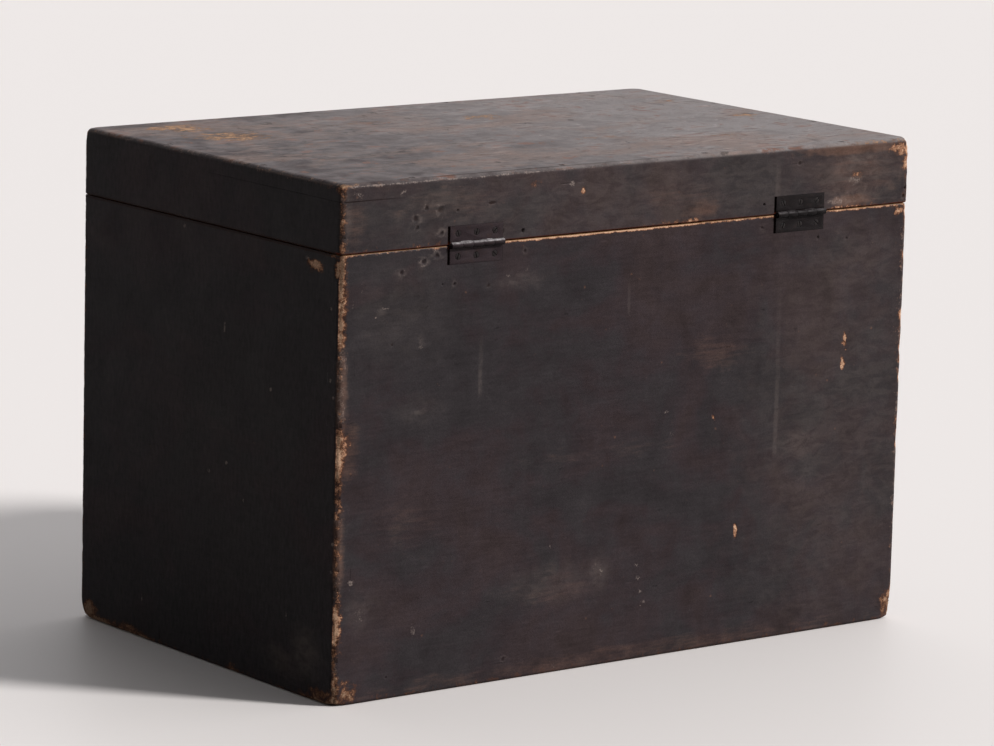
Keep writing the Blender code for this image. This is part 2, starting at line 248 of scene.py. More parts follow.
def marks(face: Face, *rows: tuple) -> tuple[Mark, ...]:
    """The marks on a face, from rows of a trace and the sizes in a Mark's order."""
    return tuple(Mark(trace, face, *sizes) for trace, *sizes in rows)


def dents(face: Face, *rows: tuple[float, float, float, float]) -> tuple[Mark, ...]:
    """Small pressed marks with a dark floor, from rows of place along, place up, radius and depth."""
    return tuple(Mark(DARK, face, x, y, size, size, DENT_DARKNESS, depth) for x, y, size, depth in rows)


@dataclass(frozen=True)
class Arris:
    """The wear along one straight edge.

    Attributes:
        start: One end of the edge, in metres.
        stop: The other end.
        bare: Stops of place along the edge, in millimetres, and bareness.
        scuff: Stops of place and paleness.
        dark: Stops of place and darkness: dirt, and painted shade along some edges.
        core: How far from the edge the wear is at its full, in metres.
        reach: How far past that it spreads over the face that it leans to, in metres.
        lean: That face, or None where it spreads evenly.
        chip: The deepest chip, in metres.
    """

    start: Point
    stop: Point
    bare: Stops = ((0.0, 0.0),)
    scuff: Stops = ((0.0, 0.0),)
    dark: Stops = ((0.0, 0.0),)
    core: float = 0.0025
    reach: float = 0.008
    lean: Face | None = None
    chip: float = 0.0012

    @property
    def axis(self) -> int:
        """The axis that the edge runs along."""
        spans = [abs(a - b) for a, b in zip(self.start, self.stop)]
        return spans.index(max(spans))

    def nearness(self, points: np.ndarray, normals: np.ndarray) -> np.ndarray:
        """How close each point lies to the edge.

        Args:
            points: Rows of x, y and z in metres.
            normals: The outward direction at each point.

        Returns:
            1 on the edge, falling to 0 at the reach of the wear.
        """
        across = [axis for axis in range(3) if axis != self.axis]
        gaps = [points[:, axis] - self.start[axis] for axis in across]
        distance = np.clip(np.hypot(*gaps) - self.core, 0.0, None)
        reach = np.full(len(points), self.reach)
        if self.lean is not None:
            facing = normals[:, self.lean.axis] * self.lean.sign
            reach = self.reach * (0.15 + 0.85 * ease(facing, 0.3, 0.75))
        return np.clip(1.0 - distance / reach, 0.0, 1.0)

    def level(self, stops: Stops, points: np.ndarray) -> np.ndarray:
        """Read stops along the edge at each point."""
        places, values = zip(*stops)
        return np.interp(points[:, self.axis], [place * MILLI for place in places], values)


@dataclass(frozen=True)
class Shell:
    """One body's outer skin: a box with rounded upright corners and rounded rims.

    Attributes:
        low: Its lowest height, in metres.
        high: Its highest height.
        low_round: The radius of its lower rim.
        high_round: The radius of its upper rim.
    """

    low: float
    high: float
    low_round: float
    high_round: float

    def skin(self, points: np.ndarray) -> tuple[np.ndarray, np.ndarray]:
        """Measure points against the skin.

        Args:
            points: Rows of x, y and z in metres.

        Returns:
            How far each point stands out of the skin, negative inside, and the outward direction there.
        """
        signs = np.where(points[:, :2] < 0.0, -1.0, 1.0)
        over = np.abs(points[:, :2]) - np.array([HALF_WIDTH, HALF_DEPTH]) + CORNER_ROUND
        corner = np.clip(over, 0.0, None)
        span = np.hypot(corner[:, 0], corner[:, 1])
        round_part = (over[:, 0] > 0.0) & (over[:, 1] > 0.0)
        beyond = np.where(round_part, span, np.maximum(over[:, 0], over[:, 1])) - CORNER_ROUND
        flat = np.stack([over[:, 0] >= over[:, 1], over[:, 0] < over[:, 1]], axis=1).astype(float)
        turned = corner / np.maximum(span, 1e-9)[:, None]
        level = np.where(round_part[:, None], turned, flat) * signs

        upper = points[:, 2] > 0.5 * (self.low + self.high)
        rim = np.where(upper, self.high_round, self.low_round)
        rise = np.where(upper, points[:, 2] - self.high, self.low - points[:, 2])
        side_over = beyond + rim
        rise_over = rise + rim
        on_rim = (side_over > 0.0) & (rise_over > 0.0)
        reach = np.hypot(side_over, rise_over)
        stand = np.where(on_rim, reach - rim, np.maximum(beyond, rise))
        side_share = np.where(on_rim, side_over / np.maximum(reach, 1e-9), (beyond >= rise).astype(float))
        rise_share = np.where(on_rim, rise_over / np.maximum(reach, 1e-9), (beyond < rise).astype(float))
        upward = rise_share * np.where(upper, 1.0, -1.0)
        return stand, np.concatenate([level * side_share[:, None], upward[:, None]], axis=1)


BOX_SHELL = Shell(0.0, WALL_HIGH, BASE_ROUND, SEAM_ROUND)
LID_SHELL = Shell(RAIL_LOW, HEIGHT, SEAM_ROUND, TOP_ROUND)


def upright(side: int, rear: int, shell: Shell) -> tuple[Point, Point]:
    """The ends of a shell's upright edge, at the right or left (1 or -1) and the back or front (1 or -1)."""
    place = (side * HALF_WIDTH, rear * HALF_DEPTH)
    return (*place, shell.low), (*place, shell.high)


def rim_edge(face: Face, height: float) -> tuple[Point, Point]:
    """The ends of a level edge along an upright face.

    Args:
        face: The face.
        height: The edge's height.

    Returns:
        The start and stop of an Arris.
    """
    if face.axis == 1:
        return (-HALF_WIDTH, face.place, height), (HALF_WIDTH, face.place, height)
    return (face.place, -HALF_DEPTH, height), (face.place, HALF_DEPTH, height)


NEAR_CORNER_BARE = (
    (0, 0.95), (28, 0.8), (40, 0.4), (60, 0.55), (68, 0.9), (104, 0.9), (112, 0.5), (150, 0.5), (200, 0.55),
    (235, 0.68), (255, 0.9), (292, 0.95), (302, 0.55), (330, 0.46), (385, 0.5), (396, 0.85), (430, 0.95),
    (457, 0.85), (485, 0.9),
)
NEAR_CORNER_SCUFF = (
    (40, 0.6), (58, 0.65), (66, 0.1), (112, 0.4), (135, 0.75), (150, 0.5), (200, 0.6), (230, 0.3),
    (295, 0.3), (315, 0.8), (385, 0.75), (396, 0.2),
)
FAR_CORNER_BARE = (
    (0, 0.95), (32, 0.85), (45, 0.35), (198, 0.35), (206, 0.8), (215, 0.4), (233, 0.8), (242, 0.35),
    (277, 0.35), (285, 0.75), (295, 0.45), (315, 0.85), (330, 0.45), (355, 0.85), (367, 0.4), (415, 0.4),
    (423, 0.85), (435, 0.4), (462, 0.5), (475, 0.85), (485, 0.95),
)
SEAM_BACK_BARE = (
    (-397, 0.6), (-376, 0.6), (-368, 0.85), (-300, 0.75), (-268, 0.7), (-200, 0.5), (-185, 0.66),
    (-100, 0.8), (0, 0.98), (130, 0.98), (183, 0.8), (200, 0.5), (300, 0.42), (370, 0.46), (397, 0.7),
)
LID_SEAM_BACK_BARE = (
    (-397, 0.4), (-350, 0.35), (-341, 0.5), (-283, 0.5), (-270, 0.2), (-100, 0.2), (-80, 0.5), (-40, 0.45),
    (0, 0.15), (240, 0.15), (300, 0.4), (330, 0.15), (397, 0.3),
)
LID_SEAM_BACK_DARK = ((-397, 1.0), (-374, 1.0), (-366, 0.6), (397, 0.65))
# Pale along the top's back edge: scuffs, and a painted highlight on the rounding.
TOP_BACK_SCUFF_AND_HIGHLIGHT = ((-397, 0.1), (-300, 0.3), (30, 0.35), (100, 0.72), (375, 0.92), (397, 0.4))
TOP_BACK_BARE = ((-397, 0.6), (-340, 0.42), (-280, 0.25), (0, 0.15), (280, 0.15), (397, 0.35))
END_BASE_BARE = (
    (-248, 0.95), (-200, 0.85), (-178, 0.75), (-112, 0.75), (-90, 0.3), (40, 0.32), (59, 0.8), (75, 0.32),
    (190, 0.4), (206, 0.7), (248, 0.95),
)
WORN = ((0.0, 0.55),)
RUBBED = ((0.0, 0.42),)

BOX_ARRISES = (
    Arris(*upright(1, 1, BOX_SHELL), bare=NEAR_CORNER_BARE, scuff=NEAR_CORNER_SCUFF, reach=0.012,
          lean=Face.BACK, chip=0.0022),
    Arris(*upright(-1, 1, BOX_SHELL), bare=FAR_CORNER_BARE, scuff=((40, 0.3), (150, 0.62), (485, 0.66)),
          reach=0.012, chip=0.0020),
    Arris(*upright(1, -1, BOX_SHELL), bare=WORN, reach=0.009, chip=0.0016),
    Arris(*upright(-1, -1, BOX_SHELL), bare=WORN, reach=0.010, chip=0.0018),
    Arris(*rim_edge(Face.BACK, WALL_HIGH), bare=SEAM_BACK_BARE, scuff=((180, 0.0), (210, 0.6), (397, 0.6)),
          core=0.0012, reach=0.0028, chip=0.0010),
    Arris(*rim_edge(Face.FRONT, WALL_HIGH), bare=WORN, reach=0.005, chip=0.0010),
    Arris(*rim_edge(Face.RIGHT, WALL_HIGH), bare=((0.0, 0.2), (200, 0.25), (248, 0.5)), reach=0.003,
          chip=0.0006),
    # Painted shade: the seam's groove along the right end is darkened.
    Arris(*rim_edge(Face.RIGHT, WALL_HIGH), dark=((-248, 0.9), (225, 0.9), (240, 0.2)), core=0.0022,
          reach=0.0012, chip=0.0),
    Arris(*rim_edge(Face.LEFT, WALL_HIGH), bare=RUBBED, reach=0.004, chip=0.0008),
    Arris(*rim_edge(Face.BACK, 0.0), bare=((0.0, 0.33),), reach=0.009, chip=0.0010),
    Arris(*rim_edge(Face.FRONT, 0.0), bare=WORN, reach=0.009, chip=0.0012),
    Arris(*rim_edge(Face.RIGHT, 0.0), bare=END_BASE_BARE, reach=0.008, chip=0.0016),
    Arris(*rim_edge(Face.LEFT, 0.0), bare=WORN, reach=0.008, chip=0.0012),
)
LID_ARRISES = (
    Arris(*upright(1, 1, LID_SHELL), bare=((485, 0.62), (500, 0.48), (520, 0.62), (540, 0.5), (560, 0.66)),
          scuff=((485, 0.5), (560, 0.6)), reach=0.011, lean=Face.BACK, chip=0.0016),
    Arris(*upright(-1, 1, LID_SHELL), bare=((485, 0.5), (520, 0.45), (535, 0.75), (560, 0.85)), reach=0.012,
          chip=0.0018),
    Arris(*upright(1, -1, LID_SHELL), bare=WORN, reach=0.008, chip=0.0014),
    Arris(*upright(-1, -1, LID_SHELL), bare=WORN, reach=0.009, chip=0.0014),
    Arris(*rim_edge(Face.BACK, HEIGHT), bare=TOP_BACK_BARE, reach=0.006, chip=0.0009),
    # Pale on the rounding of the top's back edge: scuffs with a painted highlight.
    Arris(*rim_edge(Face.BACK, HEIGHT - 0.0035), scuff=TOP_BACK_SCUFF_AND_HIGHLIGHT, core=0.0003, reach=0.0024, chip=0.0),
    Arris(*rim_edge(Face.FRONT, HEIGHT), bare=WORN, scuff=((0.0, 0.35),), reach=0.008, chip=0.0012),
    Arris(*rim_edge(Face.RIGHT, HEIGHT), bare=((-248, 0.3), (0, 0.2), (150, 0.3), (248, 0.4)),
          scuff=((0.0, 0.45),), reach=0.006, chip=0.0012),
    Arris(*rim_edge(Face.LEFT, HEIGHT), bare=RUBBED, scuff=((0.0, 0.3),), reach=0.008, chip=0.0010),
    Arris(*rim_edge(Face.BACK, RAIL_LOW), bare=LID_SEAM_BACK_BARE, reach=0.006, lean=Face.BACK,
          chip=0.0012),
    Arris(*rim_edge(Face.BACK, RAIL_LOW), dark=LID_SEAM_BACK_DARK, core=0.0008, reach=0.0014, chip=0.0),
    Arris(*rim_edge(Face.FRONT, RAIL_LOW), bare=WORN, reach=0.006, chip=0.0012),
    Arris(*rim_edge(Face.RIGHT, RAIL_LOW), bare=((0.0, 0.15),), reach=0.003, chip=0.0006),
    # Painted shade: the lid's side of the seam's groove on the right end is darkened.
    Arris(*rim_edge(Face.RIGHT, RAIL_LOW), dark=((0.0, 0.9),), core=0.0018, reach=0.0010, chip=0.0),
    Arris(*rim_edge(Face.LEFT, RAIL_LOW), bare=RUBBED, reach=0.004, chip=0.0008),
    Arris((0.30, HALF_DEPTH, TOP_JOINT), (HALF_WIDTH, HALF_DEPTH, TOP_JOINT),
          dark=((305, 0.0), (335, 0.55), (397, 0.7)), core=0.0003, reach=0.0009, chip=0.0),
    # A dark line just inside the top's back edge: worn paint, partly painted shade where the rounding
    # begins.
    Arris((-HALF_WIDTH, HALF_DEPTH - 0.0050, HEIGHT), (HALF_WIDTH, HALF_DEPTH - 0.0050, HEIGHT),
          dark=((-200, 0.0), (-60, 0.42), (120, 0.6), (270, 0.6), (320, 0.1)), core=0.0004, reach=0.0018,
          chip=0.0),
)

BACK_BOX_MARKS = marks(
    Face.BACK,
    (BARE, -308, 335, 4.4, 12, 1.05, 0.4), (BARE, -306, 307, 4.4, 8, 1.05, 0.3),
    (BARE, -155, 129, 3.6, 13, 0.92, 0.4), (BARE, -117, 264, 3, 4, 0.9, 0.3),
    (SCUFF, -14, 107, 4, 3, 0.72, 0.2), (SCUFF, -15, 91, 4, 4, 0.72, 0.2), (SCUFF, -20, 76, 5, 4, 0.64),
    (SCUFF, -24, 64, 4, 3, 0.64), (SCUFF, -49, 276, 5, 2.5, 0.68), (SCUFF, -58, 250, 5, 4, 0.64),
    (SCUFF, 36, 104, 4, 6, 0.6), (SCUFF, 174, 446, 7, 2.5, 0.64), (SCUFF, 151, 450, 3, 2, 0.6),
    (SCUFF, 376, 133, 4, 5, 0.68), (SCUFF, 366, 99, 7, 15, 0.5), (SCUFF, 294, 72, 6, 7, 0.53),
    (SCUFF, 249, 78, 3, 6, 0.56), (SCUFF, 99, 9, 3, 5, 0.64), (SCUFF, 290, 379, 4, 3, 0.56),
    (SCUFF, 340, 424, 12, 1.2, 0.64), (SCUFF, 345, 416, 8, 1.2, 0.6), (SCUFF, 369, 449, 1.3, 8, 0.64),
    (SCUFF, 380, 434, 1.3, 9, 0.56), (SCUFF, 109, 141, 2, 8, 0.53), (HAZE, 40, 104, 16, 26, 0.5),
    (SCUFF, 42, 107, 8, 18, 0.28), (HAZE, 343, 419, 10, 10, 0.6), (HAZE, 290, 385, 4, 10, 0.7),
    (HAZE, 289, 309, 12, 4, 0.7), (SCUFF, 289, 309, 8, 3, 0.4), (HAZE, -246, 221, 42, 20, 0.7),
    (HAZE, 162, 440, 34, 10, 0.5), (HAZE, 291, 311, 30, 16, 0.25), (HAZE, 320, 420, 70, 60, 0.2),
    (HAZE, -320, 420, 80, 60, 0.4), (HAZE, 364, 100, 26, 26, 0.3), (HAZE, 110, 100, 70, 24, 0.3),
    (THIN, -118, 338, 60, 26, 0.38), (THIN, 300, 190, 70, 40, 0.26), (THIN, 60, 240, 170, 16, 0.2),
    (THIN, 105, 96, 80, 26, 0.25), (THIN, 0, 8, 420, 16, 0.4), (THIN, 388, 275, 26, 50, 0.5),
    (THIN, 393, 345, 9, 52, 0.7), (HAZE, 393, 345, 9, 52, 0.5), (THIN, 393, 170, 9, 66, 0.6),
    (HAZE, 393, 170, 9, 66, 0.4), (HAZE, -310, 240, 150, 260, 0.35), (BARE, 390, 284, 10, 26, 0.62, 0.3),
    (BARE, -384, 478, 13, 7, 0.74), (BARE, -384, 20, 11, 22, 0.66), (BARE, 380, 14, 20, 15, 0.6),
) + dents(
    Face.BACK,
    (-262, 455, 2.0, 1.2), (-305, 451, 1.8, 0.8), (-179, 472, 2.0, 0.6), (272, 476, 3.5, 0.9),
    (289, 470, 3.2, 0.9), (154, 472, 2.2, 0.6), (264, 444, 1.5, 0.8), (248, 443, 2.4, 1.0),
    (202, 438, 1.8, 0.6), (318, 461, 3.0, 0.7), (327, 24, 1.8, 0.8), (291, 388, 1.6, 0.6),
    (328, 385, 1.6, 0.6), (170, 24, 2.4, 0.6),
)
BACK_LID_MARKS = marks(
    Face.BACK,
    (SCUFF, 91, 540, 5, 4, 0.72, 0.3), (BARE, 76, 533, 4, 6, 1.0, 0.4), (SCUFF, 317, 547, 5, 3, 0.68),
    (BARE, 142, 545, 10, 7, 0.5), (BARE, -317, 522, 14, 7, 0.5), (SCUFF, -314, 517, 11, 6, 0.68),
    (HAZE, -314, 518, 16, 11, 1.2), (SCUFF, -287, 494, 18, 5, 0.66), (HAZE, -300, 494, 34, 8, 1.2),
    (THIN, -310, 494, 34, 9, 0.9), (BARE, -382, 548, 22, 10, 0.62), (BARE, -391, 533, 8, 14, 0.55),
    (THIN, -320, 522, 84, 44, 0.42), (THIN, -310, 553, 80, 9, 0.95), (HAZE, -322, 543, 24, 9, 1.2),
    (THIN, -90, 500, 30, 14, 0.6), (THIN, 260, 530, 90, 26, 0.3), (THIN, 380, 520, 24, 44, 0.35),
    (THIN, -60, 518, 70, 18, 0.3), (HAZE, 280, 532, 60, 22, 0.5), (HAZE, 0, 525, 470, 60, 0.4),
    (HAZE, -320, 520, 90, 50, 0.7), (HAZE, 391, 525, 11, 40, 0.6), (SCUFF, 376, 546, 14, 6, 0.5),
) + dents(
    Face.BACK,
    (158, 494, 2.0, 2.5), (-181, 498, 2.0, 2.5), (301, 517, 3.8, 1.0), (299, 507, 2.4, 0.9),
    (287, 527, 2.6, 1.0), (269, 524, 4.0, 1.1), (246, 522, 2.2, 0.8), (266, 499, 3.0, 0.9),
    (186, 495, 2.2, 0.7), (-231, 541, 2.4, 0.8), (-391, 502, 2.2, 2.0), (-388, 493, 2.4, 1.0),
) + marks(Face.BACK, (DARK, 200, 527, 9, 2.0, 0.6, 0.6))
TOP_MARKS = marks(
    Face.TOP,
    (BARE, 306, -192, 50, 44, 0.62), (BARE, 292, -110, 58, 50, 0.62), (BARE, -60, -112, 45, 26, 0.56),
    (BARE, -346, -130, 20, 22, 0.6), (BARE, -347, 11, 24, 18, 0.62), (BARE, -220, 138, 26, 12, 0.55),
    (BARE, -76, 84, 45, 12, 0.45), (BARE, 92, -134, 70, 10, 0.42), (BARE, 129, 122, 40, 8, 0.42),
)
END_MARKS = marks(
    Face.RIGHT,
    (BARE, 242, 470, 6, 14, 1.0, 1.2), (BARE, 204, 469, 18, 7, 0.95, 0.5),
    (SCUFF, 186, 474, 10, 3, 0.64, 0.3), (BARE, -228, 12, 18, 14, 0.8, 0.5), (BARE, -145, 5, 34, 8, 0.66),
    (BARE, 59, 6, 8, 6, 0.75), (BARE, 222, 9, 26, 11, 0.62), (SCUFF, 232, 427, 2.5, 3, 0.72),
    (SCUFF, 233, 351, 3, 3, 0.72), (SCUFF, 239, 333, 2.5, 3, 0.64), (SCUFF, 242, 176, 3, 3, 0.72),
    (SCUFF, 241, 146, 3, 3, 0.72), (SCUFF, 36, 377, 2.5, 7, 0.88), (SCUFF, 124, 323, 3, 3, 0.9),
    (SCUFF, 10, 214, 3.5, 4, 0.88), (SCUFF, 43, 229, 3, 3, 0.9), (SCUFF, 76, 193, 3, 3, 0.84),
    (SCUFF, -43, 477, 4, 4, 0.84), (SCUFF, -120, 46, 2, 8, 0.6), (SCUFF, 160, 84, 2, 14, 0.53),
    (HAZE, 196, 50, 30, 30, 0.7), (HAZE, 150, 30, 34, 22, 0.5), (HAZE, 60, 230, 180, 200, 0.1),
)


@dataclass(frozen=True)
class Corner:
    """A worn outer corner of the closed chest.

    Attributes:
        point: The sharp corner, in metres.
        reach: How far the wear spreads, in metres.
        depth: How deep it goes at the corner, in metres.
    """

    point: Point
    reach: float
    depth: float


def outer_corners(height: float, reach: float, depth: float) -> tuple[Corner, ...]:
    """The four corners at one height, with how far their wear spreads and how deep it goes."""
    places = [(side * HALF_WIDTH, rear * HALF_DEPTH, height) for side in (-1, 1) for rear in (-1, 1)]
    return tuple(Corner(place, reach, depth) for place in places)


@dataclass(frozen=True)
class Weathering:
    """All the wear of one body: its skin, edges, corners and marks.

    Attributes:
        shell: The body's outer skin.
        arrises: Its worn edges.
        corners: Its worn corners.
        marks: The marks on its faces.
    """

    shell: Shell
    arrises: tuple[Arris, ...]
    corners: tuple[Corner, ...]
    marks: tuple[Mark, ...]

    def refine(self, work: bmesh.types.BMesh) -> None:
        """Make the mesh finer under the small marks that lie on it.

        Args:
            work: The board's mesh.
        """
        faces = list(work.faces)
        centres = np.array([face.calc_center_median() for face in faces])
        stand, _ = self.shell.skin(centres)
        for mark in (mark for mark in self.marks if mark.small):
            span = 1.0 + MARK_MARGIN / (mark.half_least * MILLI)
            near = (mark.ratio(centres) < span) & (stand > -SKIN_DEPTH)
            picked = [faces[index] for index in np.flatnonzero(near) if faces[index].is_valid]
            limit = REFINED_EDGE * mark.half_least * MILLI
            for _ in range(REFINE_ROUNDS):
                edges = {edge for face in picked for edge in face.edges}
                long_edges = [edge for edge in edges if edge.calc_length() > limit]
                if not long_edges:
                    break
                made = bmesh.ops.subdivide_edges(work, edges=long_edges, cuts=1, use_grid_fill=True)
                new_verts = [item for item in made["geom"] if isinstance(item, bmesh.types.BMVert)]
                touched = {face for vert in new_verts for face in vert.link_faces}
                points = np.array([face.calc_center_median() for face in touched])
                inside = mark.ratio(points) < REFINE_REACH
                picked = [face for face, keep in zip(touched, inside) if keep]

    def wear(self, work: bmesh.types.BMesh) -> None:
        """Move the skin's points inward where the wood is worn, and write what shows as mesh attributes.

        Args:
            work: The board's mesh.
        """
        points = np.array([vert.co for vert in work.verts])
        stand, outward = self.shell.skin(points)
        broad = sample_noise(points, 16.0, 3.7)
        middle = sample_noise(points, 75.0, 11.3)
        fine = sample_noise(points, 260.0, 29.1)
        traces = {trace: np.zeros(len(points)) for trace in Trace}
        depth = 0.00012 * (1.0 + broad) + 0.00006 * (1.0 + middle)

        def leave(trace: Trace, values: np.ndarray) -> None:
            """Keep the stronger of a trace so far and what is left now."""
            traces[trace] = np.maximum(traces[trace], values)

        for arris in self.arrises:
            near = arris.nearness(points, outward)
            bare = arris.level(arris.bare, points) * near * (1.0 + 0.22 * middle + 0.12 * broad)
            leave(BARE, bare)
            leave(SCUFF, arris.level(arris.scuff, points) * near * (1.0 + 0.35 * middle + 0.2 * fine))
            leave(DARK, arris.level(arris.dark, points) * near)
            chipped = ease(bare + 0.25 * middle + 0.12 * fine, 0.3, 0.95)
            depth = np.maximum(depth, arris.chip * chipped * (0.65 + 0.35 * fine))
        for corner in self.corners:
            gap = np.linalg.norm(points - np.array(corner.point), axis=1)
            near = np.clip(1.0 - gap / corner.reach, 0.0, 1.0)
            leave(BARE, 1.1 * near * (1.0 + 0.3 * middle))
            depth = depth + corner.depth * near * near * (1.0 + 0.3 * middle)
        for mark in self.marks:
            ratio = mark.ratio(points) * (1.0 + 0.3 * middle + (0.55 if mark.small else 0.3) * fine)
            share = SMALL_SHARE if mark.small and mark.trace in (BARE, THIN) else 1.0
            leave(mark.trace, mark.strength * share * ease(1.0 - ratio, -0.35, 0.75))
            depth = depth + mark.depth * MILLI * ease(1.0 - ratio, 0.0, 0.45)
            if mark.trace is DARK:
                # A pale ring round a dent, on its raised rim: a painted highlight.
                rim = np.clip(1.0 - np.abs(ratio - 1.4) / 0.6, 0.0, 1.0)
                rim = rim * float(np.clip((mark.half_up - RIM_LEAST) / RIM_LEAST, 0.0, 1.0))
                leave(HAZE, RIM_HIGHLIGHT_HAZE * rim)
                leave(SCUFF, RIM_HIGHLIGHT_SCUFF * rim)
                depth = depth - RIM_RISE * MILLI * rim
        moved = points - outward * (stand + depth)[:, None] + self._filling(work, stand, outward, broad)
        for vert, place, out in zip(work.verts, moved, stand):
            if out > -SKIN_DEPTH:
                vert.co = place
        self._write(work, traces, stand, outward)

    def _filling(self, work: bmesh.types.BMesh, stand: np.ndarray, outward: np.ndarray,
                 broad: np.ndarray) -> np.ndarray:
        """How far each point moves sideways to fill the joint that it borders, as the paint has done.

        Args:
            work: The board's mesh.
            stand: How far each point stands out of the skin.
            outward: The skin's outward direction at each point.
            broad: Noise that leaves some lengths of a joint open.

        Returns:
            A row of x, y and z for each point.
        """
        moves = np.zeros((len(stand), 3))
        for vert in work.verts:
            place = vert.co
            off_seam = abs(place.z - SEAM_HEIGHT)
            rear = place.y > 0.0
            near_hinge = off_seam < HINGE_CLEAR and rear and abs(place.x) < HINGE_SPAN
            cracked = abs(place.z - TOP_JOINT) < SEAM_CLEAR and place.x > CRACK_START and rear
            if stand[vert.index] < -SKIN_DEPTH or off_seam < SEAM_CLEAR or near_hinge or cracked:
                continue
            outside = Vector(outward[vert.index])
            walls = [face.normal for face in vert.link_faces if abs(face.normal.dot(outside)) < 0.3
                     and min(stand[corner.index] for corner in face.verts) < -SKIN_DEPTH]
            if walls:
                sideways = sum(walls, Vector())
                sideways -= outside * sideways.dot(outside)
                if sideways.length > TINY:
                    open_share = float(np.clip(0.5 + 1.6 * broad[vert.index], 0.0, 1.0))
                    moves[vert.index] = sideways.normalized() * JOINT_FILL * (1.0 - 0.4 * open_share)
        return moves

    def _write(self, work: bmesh.types.BMesh, traces: dict[Trace, np.ndarray], stand: np.ndarray,
               outward: np.ndarray) -> None:
        """Write the traces, how far the skin faces up and which faces were never painted as attributes.

        Args:
            work: The board's mesh.
            traces: The value of each trace at each point.
            stand: How far each point stood out of the skin before it was worn.
            outward: The skin's outward direction at each point.
        """
        on_skin = stand > -SKIN_DEPTH
        places = np.array([vert.co for vert in work.verts])
        inset = np.maximum(np.abs(places[:, 0]) - HALF_WIDTH, np.abs(places[:, 1]) - HALF_DEPTH)
        mouth = (inset < -MOUTH_INSET) & (np.abs(places[:, 2] - SEAM_HEIGHT) < MOUTH_HEIGHT)
        # Walls of joints and recesses just under the skin are darkened: dirt in the joints, and painted
        # shade in the recesses.
        shaded_recess = (~on_skin) & (stand > -SHADED_RECESS_DEPTH) & (~mouth)
        shown = {trace.value: np.where(on_skin, values, 0.0) for trace, values in traces.items()}
        shown[DARK.value] = np.where(shaded_recess, 0.9, shown[DARK.value])
        shown["crown"] = np.clip(outward[:, 2], 0.0, 1.0)
        for name, values in shown.items():
            layer = work.verts.layers.float.new(name)
            for vert, value in zip(work.verts, values):
                vert[layer] = value
        raw = work.faces.layers.float.new("raw")
        work.verts.ensure_lookup_table()
        seam_low = self.shell.low + SEAM_LIP
        seam_high = self.shell.high - SEAM_LIP
        for face in work.faces:
            height = face.calc_center_median().z
            level = abs(face.normal.z)
            unpainted = any(stand[vert.index] < -UNPAINTED_DEPTH for vert in face.verts)
            unpainted |= self.shell is BOX_SHELL and height > seam_high and level > 0.94
            unpainted |= height < seam_low and level > 0.8
            face[raw] = 1.0 if unpainted else 0.0


BOX_CORNERS = outer_corners(0.0, 0.024, 0.0055)
LID_CORNERS = outer_corners(HEIGHT, 0.016, 0.0025)
BOX_WEATHER = Weathering(BOX_SHELL, BOX_ARRISES, BOX_CORNERS, BACK_BOX_MARKS + END_MARKS)
LID_WEATHER = Weathering(LID_SHELL, LID_ARRISES, LID_CORNERS, BACK_LID_MARKS + TOP_MARKS)


class Signal:
    """A number or colour in a node tree. Arithmetic on it adds nodes."""

    def __init__(self, tree: "Tree", socket: bpy.types.NodeSocket) -> None:
        """Keep the tree and the output that carries the value."""
        self.tree = tree
        self.socket = socket

    def __add__(self, other: "Feed") -> "Signal":
        """Add a number."""
        return self.tree.math("ADD", self, other)

    def __sub__(self, other: "Feed") -> "Signal":
        """Take a number away."""
        return self.tree.math("SUBTRACT", self, other)

    def __mul__(self, other: "Feed") -> "Signal":
        """Multiply by a number."""
        return self.tree.math("MULTIPLY", self, other)

    def spread(self, low: float, high: float, start: float = 0.0, stop: float = 1.0) -> "Signal":
        """Map the range from low to high smoothly onto the one from start to stop."""
        feeds = {"Value": self, "From Min": low, "From Max": high, "To Min": start, "To Max": stop}
        return self.tree.node("ShaderNodeMapRange", "Result", feeds, interpolation_type="SMOOTHSTEP")


Feed = Signal | float | tuple[float, ...]


